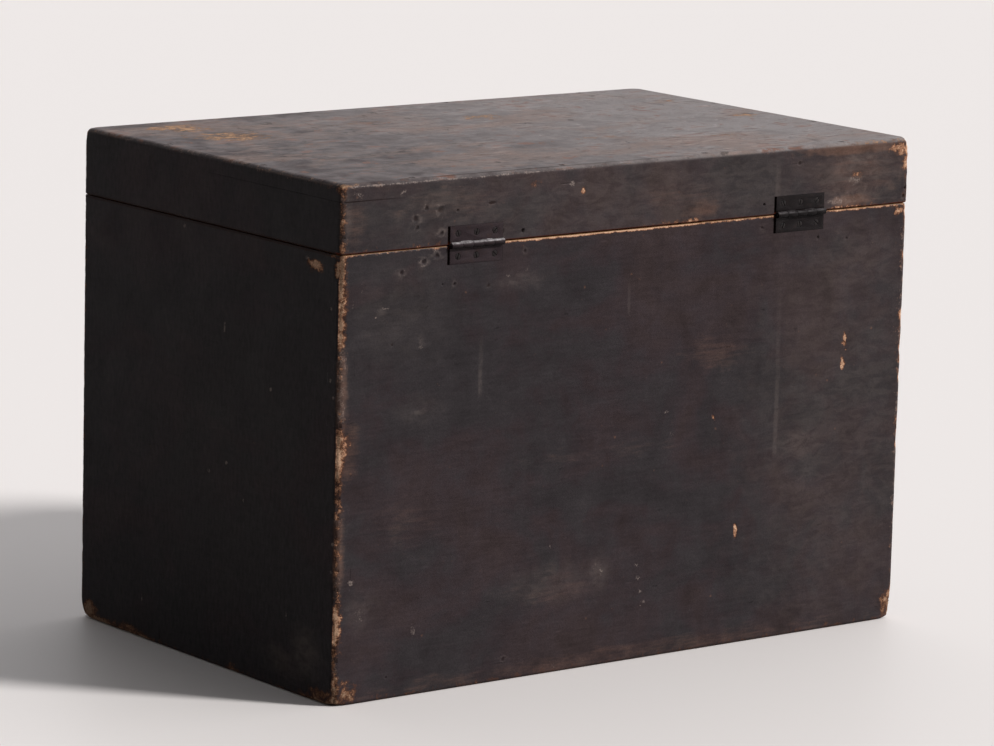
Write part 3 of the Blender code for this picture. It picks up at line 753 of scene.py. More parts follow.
class Tree:
    """A node tree, with a short method for each kind of node that the finishes use."""

    def __init__(self, tree: bpy.types.NodeTree) -> None:
        """Keep the tree's nodes and links."""
        self.nodes = tree.nodes
        self.links = tree.links

    def feed(self, socket: bpy.types.NodeSocket, value: Feed) -> None:
        """Link an input to a signal, or set its value.

        Args:
            socket: The input.
            value: A signal, or a plain value.
        """
        if isinstance(value, Signal):
            self.links.new(value.socket, socket)
        else:
            socket.default_value = value

    def node(self, kind: str, output: str | int, feeds: dict[str | int, Feed], **settings: str) -> Signal:
        """Add a node.

        Args:
            kind: Blender's name of its kind.
            output: The output that is used.
            feeds: What goes into its inputs.
            settings: The node's own settings.

        Returns:
            The output.
        """
        node = self.nodes.new(kind)
        for name, value in settings.items():
            setattr(node, name, value)
        for name, value in feeds.items():
            self.feed(node.inputs[name], value)
        return Signal(self, node.outputs[output])

    def math(self, operation: str, first: Feed, second: Feed = 0.0) -> Signal:
        """Combine two numbers by the operation that Blender gives this name."""
        return self.node("ShaderNodeMath", 0, {0: first, 1: second}, operation=operation)

    def blend(self, share: Feed, first: Feed, second: Feed) -> Signal:
        """Blend two colours, with a share of the second."""
        return self.node("ShaderNodeMix", 2, {0: share, 6: first, 7: second}, data_type="RGBA")

    def between(self, share: Feed, first: Feed, second: Feed) -> Signal:
        """Blend two numbers, with a share of the second."""
        return self.node("ShaderNodeMix", 0, {0: share, 2: first, 3: second})

    def shade(self, colour: Signal, level: Feed) -> Signal:
        """Scale a colour's brightness by a number."""
        return self.node("ShaderNodeVectorMath", 0, {0: colour, "Scale": level}, operation="SCALE")

    def toned(self, colour: Signal, where: Signal, level: float) -> Signal:
        """Scale a colour's brightness to a level where a number is 1, and leave it where that is 0."""
        return self.shade(colour, where.spread(0.0, 1.0, 1.0, level))

    def seen(self) -> Signal:
        """Where a surface or the world is looked at, straight, in a reflection or through glass.

        Returns:
            1 for those rays, 0 for the light's own.
        """
        ways = ("Camera", "Glossy", "Transmission")
        rays = [self.node("ShaderNodeLightPath", f"Is {way} Ray", {}) for way in ways]
        return self.math("MAXIMUM", self.math("MAXIMUM", rays[0], rays[1]), rays[2])


class Sheet(Tree):
    """A material's nodes, on its object's own coordinates."""

    def __init__(self, name: str) -> None:
        """Start a material with its surface shader.

        Args:
            name: The material's name.
        """
        self.material = bpy.data.materials.new(name)
        self.material.use_nodes = True
        super().__init__(self.material.node_tree)
        self.shader = self.nodes["Principled BSDF"]
        self.place = self.node("ShaderNodeTexCoord", "Object", {})

    def show(self, name: str, value: Feed) -> None:
        """Feed an input of the surface shader."""
        self.feed(self.shader.inputs[name], value)

    def attribute(self, name: str) -> Signal:
        """Read a mesh attribute as a number."""
        return self.node("ShaderNodeAttribute", "Fac", {}, attribute_name=name)

    def along(self, axis: int) -> Signal:
        """The object's coordinate along one axis, in metres."""
        return self.node("ShaderNodeSeparateXYZ", axis, {0: self.place})

    def stretch(self, scale: Point, shift: float = 0.0) -> Signal:
        """Scale the object's coordinates, with an offset that picks another part of a pattern."""
        feeds = {"Vector": self.place, "Scale": scale, "Location": (shift, shift, shift)}
        return self.node("ShaderNodeMapping", "Vector", feeds)

    def noise(self, scale: Point, detail: float, rough: float, twist: float, shift: float = 0.0) -> Signal:
        """Noise on the object's coordinates.

        Args:
            scale: Waves in a metre along x, y and z.
            detail: How many finer layers are added.
            rough: How strong the finer layers are.
            twist: How far the pattern is distorted.
            shift: An offset that picks another part of the noise.

        Returns:
            The noise, from 0 to 1 around a half.
        """
        feeds = {"Vector": self.stretch(scale, shift), "Scale": 1.0, "Detail": detail, "Roughness": rough}
        return self.node("ShaderNodeTexNoise", 0, feeds | {"Distortion": twist})

    def bump(self, height: Signal, distance: float, strength: float) -> None:
        """Roughen the surface by a share of a height, of which 1 measures a distance in metres."""
        feeds = {"Height": height, "Distance": distance, "Strength": strength}
        self.show("Normal", self.node("ShaderNodeBump", "Normal", feeds))


@dataclass(frozen=True)
class Run:
    """A faint upright run in the paint of the back, in metres.

    Attributes:
        x: Its place along the back.
        low: Its lower end.
        high: Its upper end.
        width: Its width.
        paleness: How much paler it is.
    """

    x: float
    low: float
    high: float
    width: float
    paleness: float


BACK_RUNS = (
    Run(-0.2090, 0.205, 0.480, 0.0048, 0.085),
    Run(0.2110, 0.314, 0.400, 0.0042, 0.09),
    Run(0.0080, 0.385, 0.440, 0.0030, 0.055),
)
LID_RUNS = (
    Run(-0.2000, 0.500, 0.556, 0.0060, 0.07),
)


@dataclass(frozen=True)
class PaintedPine:
    """Old dark paint over pine, worn through to the wood.

    Attributes:
        name: The material's name.
        grain: Which way the grain runs.
        runs: Faint upright runs in the paint.
        brownness: How brown the paint has gone, from 0 to 1.
        weave: How strongly the paint is marked by fine upright strokes.
        sheen: How much of its surroundings the paint mirrors.
        black: The paint where it is whole.
        brown: The paint where it has browned.
        slate: The paint where it has greyed.
        thin: The paint where the wood shines through.
        dust_and_sheen: The grey film on the top, partly dust and partly a painted sheen.
        tan: That film where it has browned.
        stain: The red-brown stains in that film.
        pale: A scuff in the paint.
        ochre: Wood on the top, under a thin film.
        pine_light: Clean wood.
        pine_warm: Handled wood.
        pine_dark: Dirty wood, and the primer at the edge of the paint.
        inside_dark: Wood that was never painted, where it is darker.
        inside_light: The same where it is lighter.
        dirt_and_shade: The floor of dents, joints and recesses: dirt, with painted shade in the recesses.
        seam_dirt: The dirt in the seam of the lid at the back.
    """

    name: str
    grain: Grain
    runs: tuple[Run, ...] = ()
    brownness: float = 0.4
    weave: float = 0.0
    sheen: float = 0.04
    black: Colour = srgb(57, 49, 52)
    brown: Colour = srgb(67, 54, 51)
    slate: Colour = srgb(52, 48, 50)
    thin: Colour = srgb(114, 84, 70)
    dust_and_sheen: Colour = srgb(128, 122, 122)
    tan: Colour = srgb(124, 106, 99)
    stain: Colour = srgb(118, 84, 72)
    pale: Colour = srgb(172, 156, 148)
    ochre: Colour = srgb(172, 138, 104)
    pine_light: Colour = srgb(218, 178, 148)
    pine_warm: Colour = srgb(172, 125, 98)
    pine_dark: Colour = srgb(88, 60, 48)
    inside_dark: Colour = srgb(126, 86, 56)
    inside_light: Colour = srgb(174, 132, 92)
    dirt_and_shade: Colour = srgb(32, 20, 18)
    seam_dirt: Colour = srgb(86, 40, 27)

    def stretched(self, waves: float, along: float) -> Point:
        """Waves in a metre across the grain, drawn out along it to a share of that."""
        return tuple(waves * (along if axis == self.grain.value else 1.0) for axis in range(3))

    def make(self) -> bpy.types.Material:
        """Build the material."""
        return PaintCoat(self).dress()


class PaintCoat(Sheet):
    """The nodes of one painted finish: its noises, and the colours that they mix."""

    def __init__(self, finish: PaintedPine) -> None:
        """Lay out the noises, and where the paint is gone.

        Args:
            finish: The finish.
        """
        super().__init__(finish.name)
        self.finish = finish
        self.cloud = self.noise(finish.stretched(9.0, 0.6), 5.0, 0.55, 0.8)
        self.patch = self.noise(per_metre(24.0), 5.0, 0.6, 0.4, 7.0)
        self.chips = self.noise(per_metre(130.0), 5.0, 0.62, 0.3, 3.0)
        self.grit = self.noise(per_metre(700.0), 2.0, 0.5, 0.0, 5.0)
        self.wash = self.noise((48.0, 48.0, 5.0), 4.0, 0.6, 0.2, 13.0)
        self.streak = self.noise(finish.stretched(260.0, 0.13), 4.0, 0.65, 0.1, 9.0)
        self.rings = self.noise(finish.stretched(110.0, 0.03), 4.0, 0.6, 0.3, 2.0)
        self.mottle = self.noise(finish.stretched(90.0, 0.45), 8.0, 0.68, 0.6, 17.0)
        self.score = self.noise(finish.stretched(170.0, 0.2), 3.0, 0.6, 0.3, 41.0)
        self.weft = self.noise((240.0, 240.0, 95.0), 3.0, 0.6, 0.1, 23.0)
        self.fleck = self.noise((70.0, 36.0, 70.0), 6.0, 0.7, 0.5, 53.0)
        self.blister = self.noise((40.0, 30.0, 40.0), 6.0, 0.7, 0.5, 61.0)
        self.rear = self.math("GREATER_THAN", self.along(1), REAR_SKIN)
        self.crown = self.attribute("crown").spread(0.2, 0.75)
        drawn = (self.mottle - 0.5) * self.between(self.crown, 0.3, 1.2)
        self.ragged = (self.chips - 0.5) * 1.5 + (self.grit - 0.5) * 0.4 + drawn
        self.level = self.attribute("bare") + self.ragged
        self.bare = self.between(self.crown, self.level.spread(0.5, 0.58), self.level.spread(0.42, 0.78))

    def dress(self) -> bpy.types.Material:
        """Put paint, wood, dirt, gloss and relief together.

        Returns:
            The material.
        """
        finish = self.finish
        raw = self.attribute("raw")
        primed = self.level.spread(0.28, 0.52, 0.0, 0.7) * self.between(self.crown, 1.0, 0.3)
        paint = self.blend(primed, self._paint(), finish.pine_dark)
        hazed = self.attribute("haze") * self.mottle.spread(0.38, 0.62, 0.06, 0.2)
        paint = self.blend(hazed, paint, finish.pale)
        broken = self.ragged + (self.grit - 0.5) * 0.8
        scuff = (self.attribute("scuff") + broken).spread(0.45, 0.95, 0.0, 0.5)
        paint = self.blend(scuff, paint, finish.pale)
        for run in finish.runs:
            paint = self.blend(self._run_mask(run), paint, finish.pale)
        wood = self.blend(self.crown * 0.65, self._wood(), finish.ochre)
        worn = self.blend(self.bare * self.between(self.crown, 1.0, 0.75), paint, wood)
        colour = self.blend(raw, worn, self._inside())
        dark = self.attribute("dark").spread(0.15, 0.8)
        self.show("Base Color", self.blend(dark, colour, self._dirt_and_shade()))

        side_gloss = self.patch.spread(0.3, 0.7, 0.48, 0.62)
        top_gloss = self.patch.spread(0.3, 0.7, 0.5, 0.4)
        gloss = self.between(self.crown, side_gloss, top_gloss)
        self.show("Roughness", self.between(self.math("MAXIMUM", self.bare, raw), gloss, 0.8))
        self.show("Specular IOR Level", finish.sheen)
        lumps = self.streak * 0.35 + self.grit * 0.2 + self.chips * 0.45
        self.bump(lumps * self.between(self.crown, 1.0, 0.4) - self.bare * 0.5, 0.0006, 0.6)
        return self.material

    def _paint(self) -> Signal:
        """The colour of the paint, whole and thin, with the film of dust and painted sheen on the top.

        Returns:
            The colour.
        """
        finish = self.finish
        hue = self.cloud + self.patch * 0.5
        colour = self.blend(hue.spread(0.66, 0.86), finish.black, finish.slate)
        colour = self.blend(hue.spread(0.52, 0.80, finish.brownness, 0.0), colour, finish.brown)
        thinned = self.attribute("thin") + self.patch * 0.6 + self.streak * 0.6
        colour = self.blend(thinned.spread(0.75, 1.5, 0.0, 0.55), colour, finish.thin)
        colour = self.blend(self._specks() * 0.5, colour, finish.thin)

        washed = (self.wash - 0.5) * self.between(self.crown, 0.3, 0.0)
        dashed = (self.streak - 0.5) * 0.6 + (self.weft - 0.5) * finish.weave
        level = (self.patch - 0.5) * 1.1 + washed + (dashed + 1.0)
        colour = self.shade(colour, self.math("MAXIMUM", level, 0.3))
        colour = self.shade(colour, self._dashes())
        colour = self.blend(self.crown, colour, self._film(colour))
        return self.shade(colour, self.grit.spread(0.2, 0.8, 0.84, 1.16))

    def _film(self, colour: Signal) -> Signal:
        """The colour of the top: a mottled grey film of dust and painted sheen over the paint, stained in
        places.

        Args:
            colour: The colour of the paint.

        Returns:
            The colour.
        """
        finish = self.finish
        ripples = (self.patch - 0.5) * 1.2 + (self.mottle - 0.5) * 0.6
        # The film is thicker towards -x: the painted sheen brightening across the top, with the dust.
        film = self.along(0).spread(-0.42, 0.42, 1.08, 0.28) + ripples
        dust_and_sheen_colour = self.blend(self.math("MAXIMUM", film, 0.0), colour, finish.dust_and_sheen)
        warm = self.cloud + self.mottle * 0.5
        dust_and_sheen_colour = self.blend(warm.spread(0.70, 0.92, 0.0, 0.7), dust_and_sheen_colour, finish.tan)
        dust_and_sheen_colour = self.toned(dust_and_sheen_colour, self.mottle.spread(0.56, 0.70) * self.patch.spread(0.46, 0.6), 0.6)
        dust_and_sheen_colour = self.toned(dust_and_sheen_colour, self.score.spread(0.53, 0.62) * self.patch.spread(0.42, 0.58), 0.55)
        chalky = self.score.spread(0.36, 0.46, 1.0, 0.0) * self.cloud.spread(0.42, 0.58)
        dust_and_sheen_colour = self.toned(dust_and_sheen_colour, chalky, 1.25)
        stained = self.patch + self.score * 0.7
        dust_and_sheen_colour = self.blend(stained.spread(0.94, 1.08, 0.0, 0.7), dust_and_sheen_colour, finish.stain)
        dust_and_sheen_colour = self.blend(self.blister.spread(0.60, 0.66, 0.0, 0.75), dust_and_sheen_colour, finish.stain)
        dust_and_sheen_colour = self.toned(dust_and_sheen_colour, self.fleck.spread(0.58, 0.65) * self.cloud.spread(0.44, 0.56), 0.5)
        faded = self.fleck.spread(0.34, 0.42, 1.0, 0.0) * self.cloud.spread(0.44, 0.56, 1.0, 0.0)
        dust_and_sheen_colour = self.toned(dust_and_sheen_colour, faded, 1.35)
        return self.shade(dust_and_sheen_colour, self.chips.spread(0.58, 0.72, 1.0, 0.75))

    def _wood(self) -> Signal:
        """The colour of the wood where the paint is gone.

        Returns:
            The colour.
        """
        finish = self.finish
        tone = self.level.spread(0.5, 1.0, 0.0, 0.5) + self.streak * 0.5 + self.patch * 0.35
        colour = self.blend(tone.spread(0.32, 0.55), finish.pine_dark, finish.pine_warm)
        colour = self.blend(tone.spread(0.5, 0.85), colour, finish.pine_light)
        colour = self.shade(colour, self.grit.spread(0.3, 0.7, 0.7, 1.1))
        return self.shade(colour, self.along(2).spread(0.0, 0.07, 0.5, 1.0))

    def _inside(self) -> Signal:
        """The colour of wood that was never painted, as inside the chest.

        Returns:
            The colour.
        """
        tone = self.rings * 0.65 + self.streak * 0.35
        colour = self.blend(tone.spread(0.36, 0.64), self.finish.inside_dark, self.finish.inside_light)
        return self.shade(colour, self.cloud.spread(0.3, 0.7, 0.72, 1.0))

    def _dirt_and_shade(self) -> Signal:
        """The colour of dirt, and of painted shade in recesses, which is redder in the seam at the back.

        Returns:
            The colour.
        """
        off_seam = self.math("ABSOLUTE", self.along(2) - SEAM_HEIGHT)
        in_seam = off_seam.spread(0.003, 0.005, 1.0, 0.0) * self.rear
        return self.blend(in_seam, self.finish.dirt_and_shade, self.finish.seam_dirt)

    def _run_mask(self, run: Run) -> Signal:
        """How much of one upright run shows.

        Args:
            run: The run.

        Returns:
            The share of the pale colour.
        """
        wander = (self.cloud - 0.5) * 0.006
        off = self.math("ABSOLUTE", self.along(0) - run.x + wander)
        width = off.spread(0.2 * run.width, run.width, run.paleness, 0.0)
        height = self.along(2)
        ends = height.spread(run.low, run.low + 0.01) * height.spread(run.low + 0.02, run.high, 1.0, 0.0)
        return width * ends * self.rear * self.chips.spread(0.35, 0.6, 0.4, 1.0)

    def _specks(self) -> Signal:
        """Sparse small nicks all over the paint: 1 in a nick, 0 elsewhere."""
        spot, lot = self._spots(per_metre(62.0), 1.5)
        return spot * self.math("GREATER_THAN", lot, 0.88)

    def _dashes(self) -> Signal:
        """What the paint is multiplied by for sparse dashes along the grain, some darker and some paler.

        Returns:
            A number around 1.
        """
        spot, lot = self._spots(self.finish.stretched(85.0, 0.25), 4.0)
        change = lot.spread(0.10, 0.16, -0.35, 0.0) + lot.spread(0.86, 0.92, 0.0, 0.5)
        return spot * change + 1.0

    def _spots(self, scale: Point, shift: float) -> tuple[Signal, Signal]:
        """Ragged spots, one in each cell of a scatter.

        Args:
            scale: Cells in a metre along x, y and z.
            shift: An offset that picks another part of the scatter.

        Returns:
            1 in a spot and 0 elsewhere, and a number drawn by lot for each cell.
        """
        feeds = {"Vector": self.stretch(scale, shift), "Scale": 1.0}
        distance = self.node("ShaderNodeTexVoronoi", "Distance", feeds)
        tint = self.node("ShaderNodeTexVoronoi", "Color", feeds)
        lot = self.node("ShaderNodeSeparateColor", 0, {"Color": tint})
        return (distance + self.grit * 0.25).spread(0.15, 0.25, 1.0, 0.0), lot


@dataclass(frozen=True)
class HingeIron:
    """Painted iron with a worn knuckle, with a painted highlight along its top and painted shade below.

    Attributes:
        name: The material's name.
        paint: The paint's colour.
        rust: The colour that shows through it.
        steel: The colour of the knuckle's top, worn steel with a painted highlight.
        rubbed_highlight: How much of the knuckle's top is worn bright and given a painted highlight, from 0
            to 1.
    """

    name: str
    paint: Colour
    rust: Colour
    steel: Colour
    rubbed_highlight: float

    def make(self) -> bpy.types.Material:
        """Build the material.

        Returns:
            The material.
        """
        sheet = Sheet(self.name)
        blotch = sheet.noise(per_metre(130.0), 4.0, 0.6, 0.2)
        grit = sheet.noise(per_metre(900.0), 3.0, 0.6, 0.0, 4.0)
        off_y = sheet.along(1) - HINGE_AXIS[0]
        off_z = sheet.along(2) - HINGE_AXIS[1]
        radius = sheet.math("SQRT", off_y * off_y + off_z * off_z)
        knuckle = radius.spread(0.0039, 0.0044, 1.0, 0.0)
        # A painted highlight along the knuckle's top, which is also made metallic as worn steel.
        painted_highlight = knuckle * off_z.spread(0.0014, 0.0030) * blotch.spread(0.55 - 0.3 * self.rubbed_highlight, 0.68)
        colour = sheet.blend(blotch.spread(0.5, 0.72, 0.0, 0.6), self.paint, self.rust)
        colour = sheet.shade(colour, grit.spread(0.25, 0.75, 0.75, 1.25))
        # Painted shade darkens the knuckle's lower half.
        under = sheet.between(knuckle, 1.0, off_z.spread(-0.0016, 0.0014, 0.4, 1.0))
        sheet.show("Base Color", sheet.blend(painted_highlight, sheet.shade(colour, under), self.steel))
        sheet.show("Metallic", painted_highlight.spread(0.0, 1.0, 0.0, 0.7))
        sheet.show("Roughness", grit.spread(0.2, 0.8, 0.36, 0.52) + painted_highlight * -0.1)
        sheet.show("Specular IOR Level", 0.07)
        sheet.bump(blotch * 0.7 + grit * 0.3, 0.0003, 0.35)
        return sheet.material


@dataclass(frozen=True)
class FastenerSteel:
    """Old steel of screws and nails, painted over or rusted.

    Attributes:
        name: The material's name.
        face: The colour of the heads.
        rust: The colour of the rust on them.
    """

    name: str
    face: Colour
    rust: Colour

    def make(self) -> bpy.types.Material:
        """Build the material.

        Returns:
            The material.
        """
        sheet = Sheet(self.name)
        blotch = sheet.noise(per_metre(420.0), 4.0, 0.6, 0.2)
        grit = sheet.noise(per_metre(1500.0), 2.0, 0.5, 0.0, 6.0)
        colour = sheet.blend(blotch.spread(0.42, 0.62), self.face, self.rust)
        sheet.show("Base Color", sheet.shade(colour, grit.spread(0.25, 0.75, 0.8, 1.2)))
        sheet.show("Roughness", blotch.spread(0.4, 0.6, 0.38, 0.62))
        sheet.show("Specular IOR Level", 0.15)
        sheet.bump(blotch, 0.0003, 0.5)
        return sheet.material


def copied_mesh(node: str) -> bmesh.types.BMesh:
    """Copy a frame node's mesh, merged and with its flat faces whole.

    Args:
        node: The node's name.

    Returns:
        The copy, to be freed by the caller.
    """
    work = bmesh.new()
    work.from_mesh(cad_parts[node].data)
    bmesh.ops.remove_doubles(work, verts=work.verts[:], dist=TINY)
    bmesh.ops.dissolve_limit(work, angle_limit=0.01, verts=work.verts[:], edges=work.edges[:])
    return work


def finished(work: bmesh.types.BMesh, node: str, body: str,
             materials: tuple[bpy.types.Material, ...], sharp_angle: float) -> bpy.types.Object:
    """Make a piece of a mesh and put it in its node's place.

    Args:
        work: The mesh, which is freed.
        node: The node that the piece replaces.
        body: The body that it rides on.
        materials: Its materials, in the order of its faces' material numbers.
        sharp_angle: The angle in degrees past which an edge stays sharp.

    Returns:
        The piece.
    """
    mesh = bpy.data.meshes.new(f"worn_{node}")
    work.to_mesh(mesh)
    work.free()
    for material in materials:
        mesh.materials.append(material)
    mesh.shade_smooth()
    mesh.set_sharp_from_angle(angle=math.radians(sharp_angle))
    piece = bpy.data.objects.new(f"worn_{node}", mesh)
    bpy.context.scene.collection.objects.link(piece)
    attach(piece, body)
    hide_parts(node)
    LOG.info("%s: %d faces on %s", piece.name, len(mesh.polygons), body)
    return piece


@dataclass(frozen=True)
class Rows:
    """How closely a board's mesh is cut along one axis, in metres.

    Attributes:
        fine: The spacing near the board's ends.
        band: How far the fine rows reach.
        coarse: The spacing in the middle.
    """

    fine: float = 0.0013
    band: float = 0.0105
    coarse: float = 0.0065

    def places(self, low: float, high: float) -> list[float]:
        """Where the cuts go between two ends.

        Args:
            low: The lower end.
            high: The upper end.

        Returns:
            The places of the cuts, in rising order.
        """
        half = 0.5 * (high - low)
        inset = 0.0
        step = self.fine
        insets = []
        while inset + step < half:
            inset += step
            insets.append(inset)
            if inset > self.band:
                step = min(step * 1.5, self.coarse)
        rising = [low + inset for inset in insets]
        return rising + [high - inset for inset in reversed(insets)]


WALL_ROWS = Rows()
PLANK_ROWS = Rows(fine=0.0014, band=0.0098, coarse=0.014)


@dataclass(frozen=True)
class Board:
    """One board of the chest, worn from its frame node.

    Attributes:
        node: The frame node that it stands for.
        body: The body that it rides on.
        finish: Its material.
        edge_finishes: The materials of its end edges and its long edges.
        weather: The wear of its body.
        rows: How closely its mesh is cut.
    """

    node: str
    body: str
    finish: bpy.types.Material
    edge_finishes: tuple[bpy.types.Material, bpy.types.Material]
    weather: Weathering
    rows: Rows = WALL_ROWS

    def build(self) -> bpy.types.Object:
        """Cut, wear and dress the board.

        Returns:
            The piece.
        """
        work = copied_mesh(self.node)
        low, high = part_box(self.node)
        for axis in (0, 2, 1):
            self._cut(work, axis, self.rows.places(low[axis], high[axis]))
        work.verts.index_update()
        self.weather.refine(work)
        work.verts.index_update()
        work.normal_update()
        self.weather.wear(work)
        work.normal_update()
        for face in work.faces:
            sides = (abs(face.normal.x), abs(face.normal.y))
            if max(sides) > 0.75:
                face.material_index = 1 + sides.index(max(sides))
        materials = (self.finish, *self.edge_finishes)
        return finished(work, self.node, self.body, materials, BOARD_SHARP)

    def _cut(self, work: bmesh.types.BMesh, axis: int, places: list[float]) -> None:
        """Cut the mesh square to one axis.

        Args:
            work: The board's mesh.
            axis: The axis that the cuts are square to.
            places: Where the cuts go, in rising order.
        """
        normal = Vector((0.0, 0.0, 0.0))
        normal[axis] = 1.0
        ahead = work.verts[:] + work.edges[:] + work.faces[:]
        for place in places:
            point = normal * place
            cut = bmesh.ops.bisect_plane(work, geom=ahead, dist=TINY, plane_co=point, plane_no=normal)
            ahead = [item for item in cut["geom"] if self._reach(item, axis) > place + TINY]

    def _reach(self, item: MeshPart, axis: int) -> float:
        """How far a piece of the mesh reaches along an axis.

        Args:
            item: A vertex, which is taken to reach a little further than it does, or an edge or a face.
            axis: The axis.

        Returns:
            Its furthest place on the axis.
        """
        if isinstance(item, bmesh.types.BMVert):
            return item.co[axis] + 2.0 * TINY
        return max(vert.co[axis] for vert in item.verts)


@dataclass(frozen=True)
class Fitting:
    """A small iron piece with its edges eased: a hinge leaf, pin, screw or nail.

    Attributes:
        node: The frame node that it stands for.
        body: The body that it rides on.
        slot: The name of a material slot; not used.
        finish: Its material.
        easing: The width of its eased edges, in metres.
    """

    node: str
    body: str
    slot: str
    finish: bpy.types.Material
    easing: float

    def build(self) -> bpy.types.Object:
        """Ease the edges of the node's shape and dress it.

        Returns:
            The piece.
        """
        work = copied_mesh(self.node)
        crisp = [edge for edge in work.edges if edge.calc_face_angle(0.0) > math.radians(CRISP_ANGLE)]
        bmesh.ops.bevel(work, geom=crisp, offset=self.easing, offset_type="OFFSET", affect="EDGES",
                        segments=2, profile=0.5, material=-1, clamp_overlap=True)
        bmesh.ops.recalc_face_normals(work, faces=work.faces[:])
        return finished(work, self.node, self.body, (self.finish,), FITTING_SHARP)


def drive_nails(stem: str, body: str, finish: bpy.types.Material) -> None:
    """Build every nail whose name starts with a stem."""
    for node in sorted(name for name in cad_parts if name.startswith(stem)):
        Fitting(node, body, "fastener_steel", finish, NAIL_EASING).build()


@dataclass(frozen=True)
class Carcass:
    """The box: four dovetailed walls, the bottom planks and their nails.

    Attributes:
        long_grain: The paint on boards whose grain runs along the chest.
        back: The paint of the back wall.
        shaded_end_grain: The paint of the end walls, a darker copy with painted shade.
        nail: The finish of the nails.
    """

    long_grain: bpy.types.Material
    back: bpy.types.Material
    shaded_end_grain: bpy.types.Material
    nail: bpy.types.Material

    def build(self) -> None:
        """Build the walls, the planks and the nails."""
        edges = (self.shaded_end_grain, self.back)
        walls = {"front": self.long_grain, "back": self.back, "left_end": self.shaded_end_grain,
                 "right_end": self.shaded_end_grain}
        for place, finish in walls.items():
            Board(f"{place}_board", "chest", finish, edges, BOX_WEATHER).build()
        for place in ("front", "middle", "back"):
            Board(f"bottom_plank_{place}", "chest", self.long_grain, edges, BOX_WEATHER, PLANK_ROWS).build()
        drive_nails("bottom_nail_", "chest", self.nail)


@dataclass(frozen=True)
class Lid:
    """The lid: its top board, four rails and their nails.

    Attributes:
        top: The paint of the top board.
        rail: The paint of the long rails.
        shaded_end_rail: The paint of the short rails, the same darker copy with painted shade.
        nail: The finish of the nails.
    """

    top: bpy.types.Material
    rail: bpy.types.Material
    shaded_end_rail: bpy.types.Material
    nail: bpy.types.Material

    def build(self) -> None:
        """Build the top board, the rails and the nails."""
        edges = (self.shaded_end_rail, self.rail)
        boards = {"top_board": self.top, "front_rail": self.rail, "back_rail": self.rail,
                  "left_rail": self.shaded_end_rail, "right_rail": self.shaded_end_rail}
        for place, finish in boards.items():
            Board(f"lid_{place}", "lid", finish, edges, LID_WEATHER).build()
        drive_nails("lid_nail_", "lid", self.nail)


@dataclass(frozen=True)
class ButtHinge:
    """One butt hinge: two leaves, a pin and six screws.

    Attributes:
        side: Which hinge it is, left or right.
        iron: The finish of its leaves and pin.
        screw: The finish of its screws.
        screws_in_leaf: How many screws hold each leaf.
    """

    side: str
    iron: bpy.types.Material
    screw: bpy.types.Material
    screws_in_leaf: int = 3

    def build(self) -> None:
        """Build the leaves, the pin and the screws."""
        stem = f"{self.side}_hinge"
        Fitting(f"{stem}_lower_leaf", "chest", "hinge_iron", self.iron, LEAF_EASING).build()
        Fitting(f"{stem}_upper_leaf", "lid", "hinge_iron", self.iron, LEAF_EASING).build()
        Fitting(f"{stem}_pin", "chest", "hinge_iron", self.iron, PIN_EASING).build()
        for leaf, body in (("lower", "chest"), ("upper", "lid")):
            for number in range(1, self.screws_in_leaf + 1):
                node = f"{stem}_{leaf}_screw_{number}"
                Fitting(node, body, "fastener_steel", self.screw, SCREW_EASING).build()


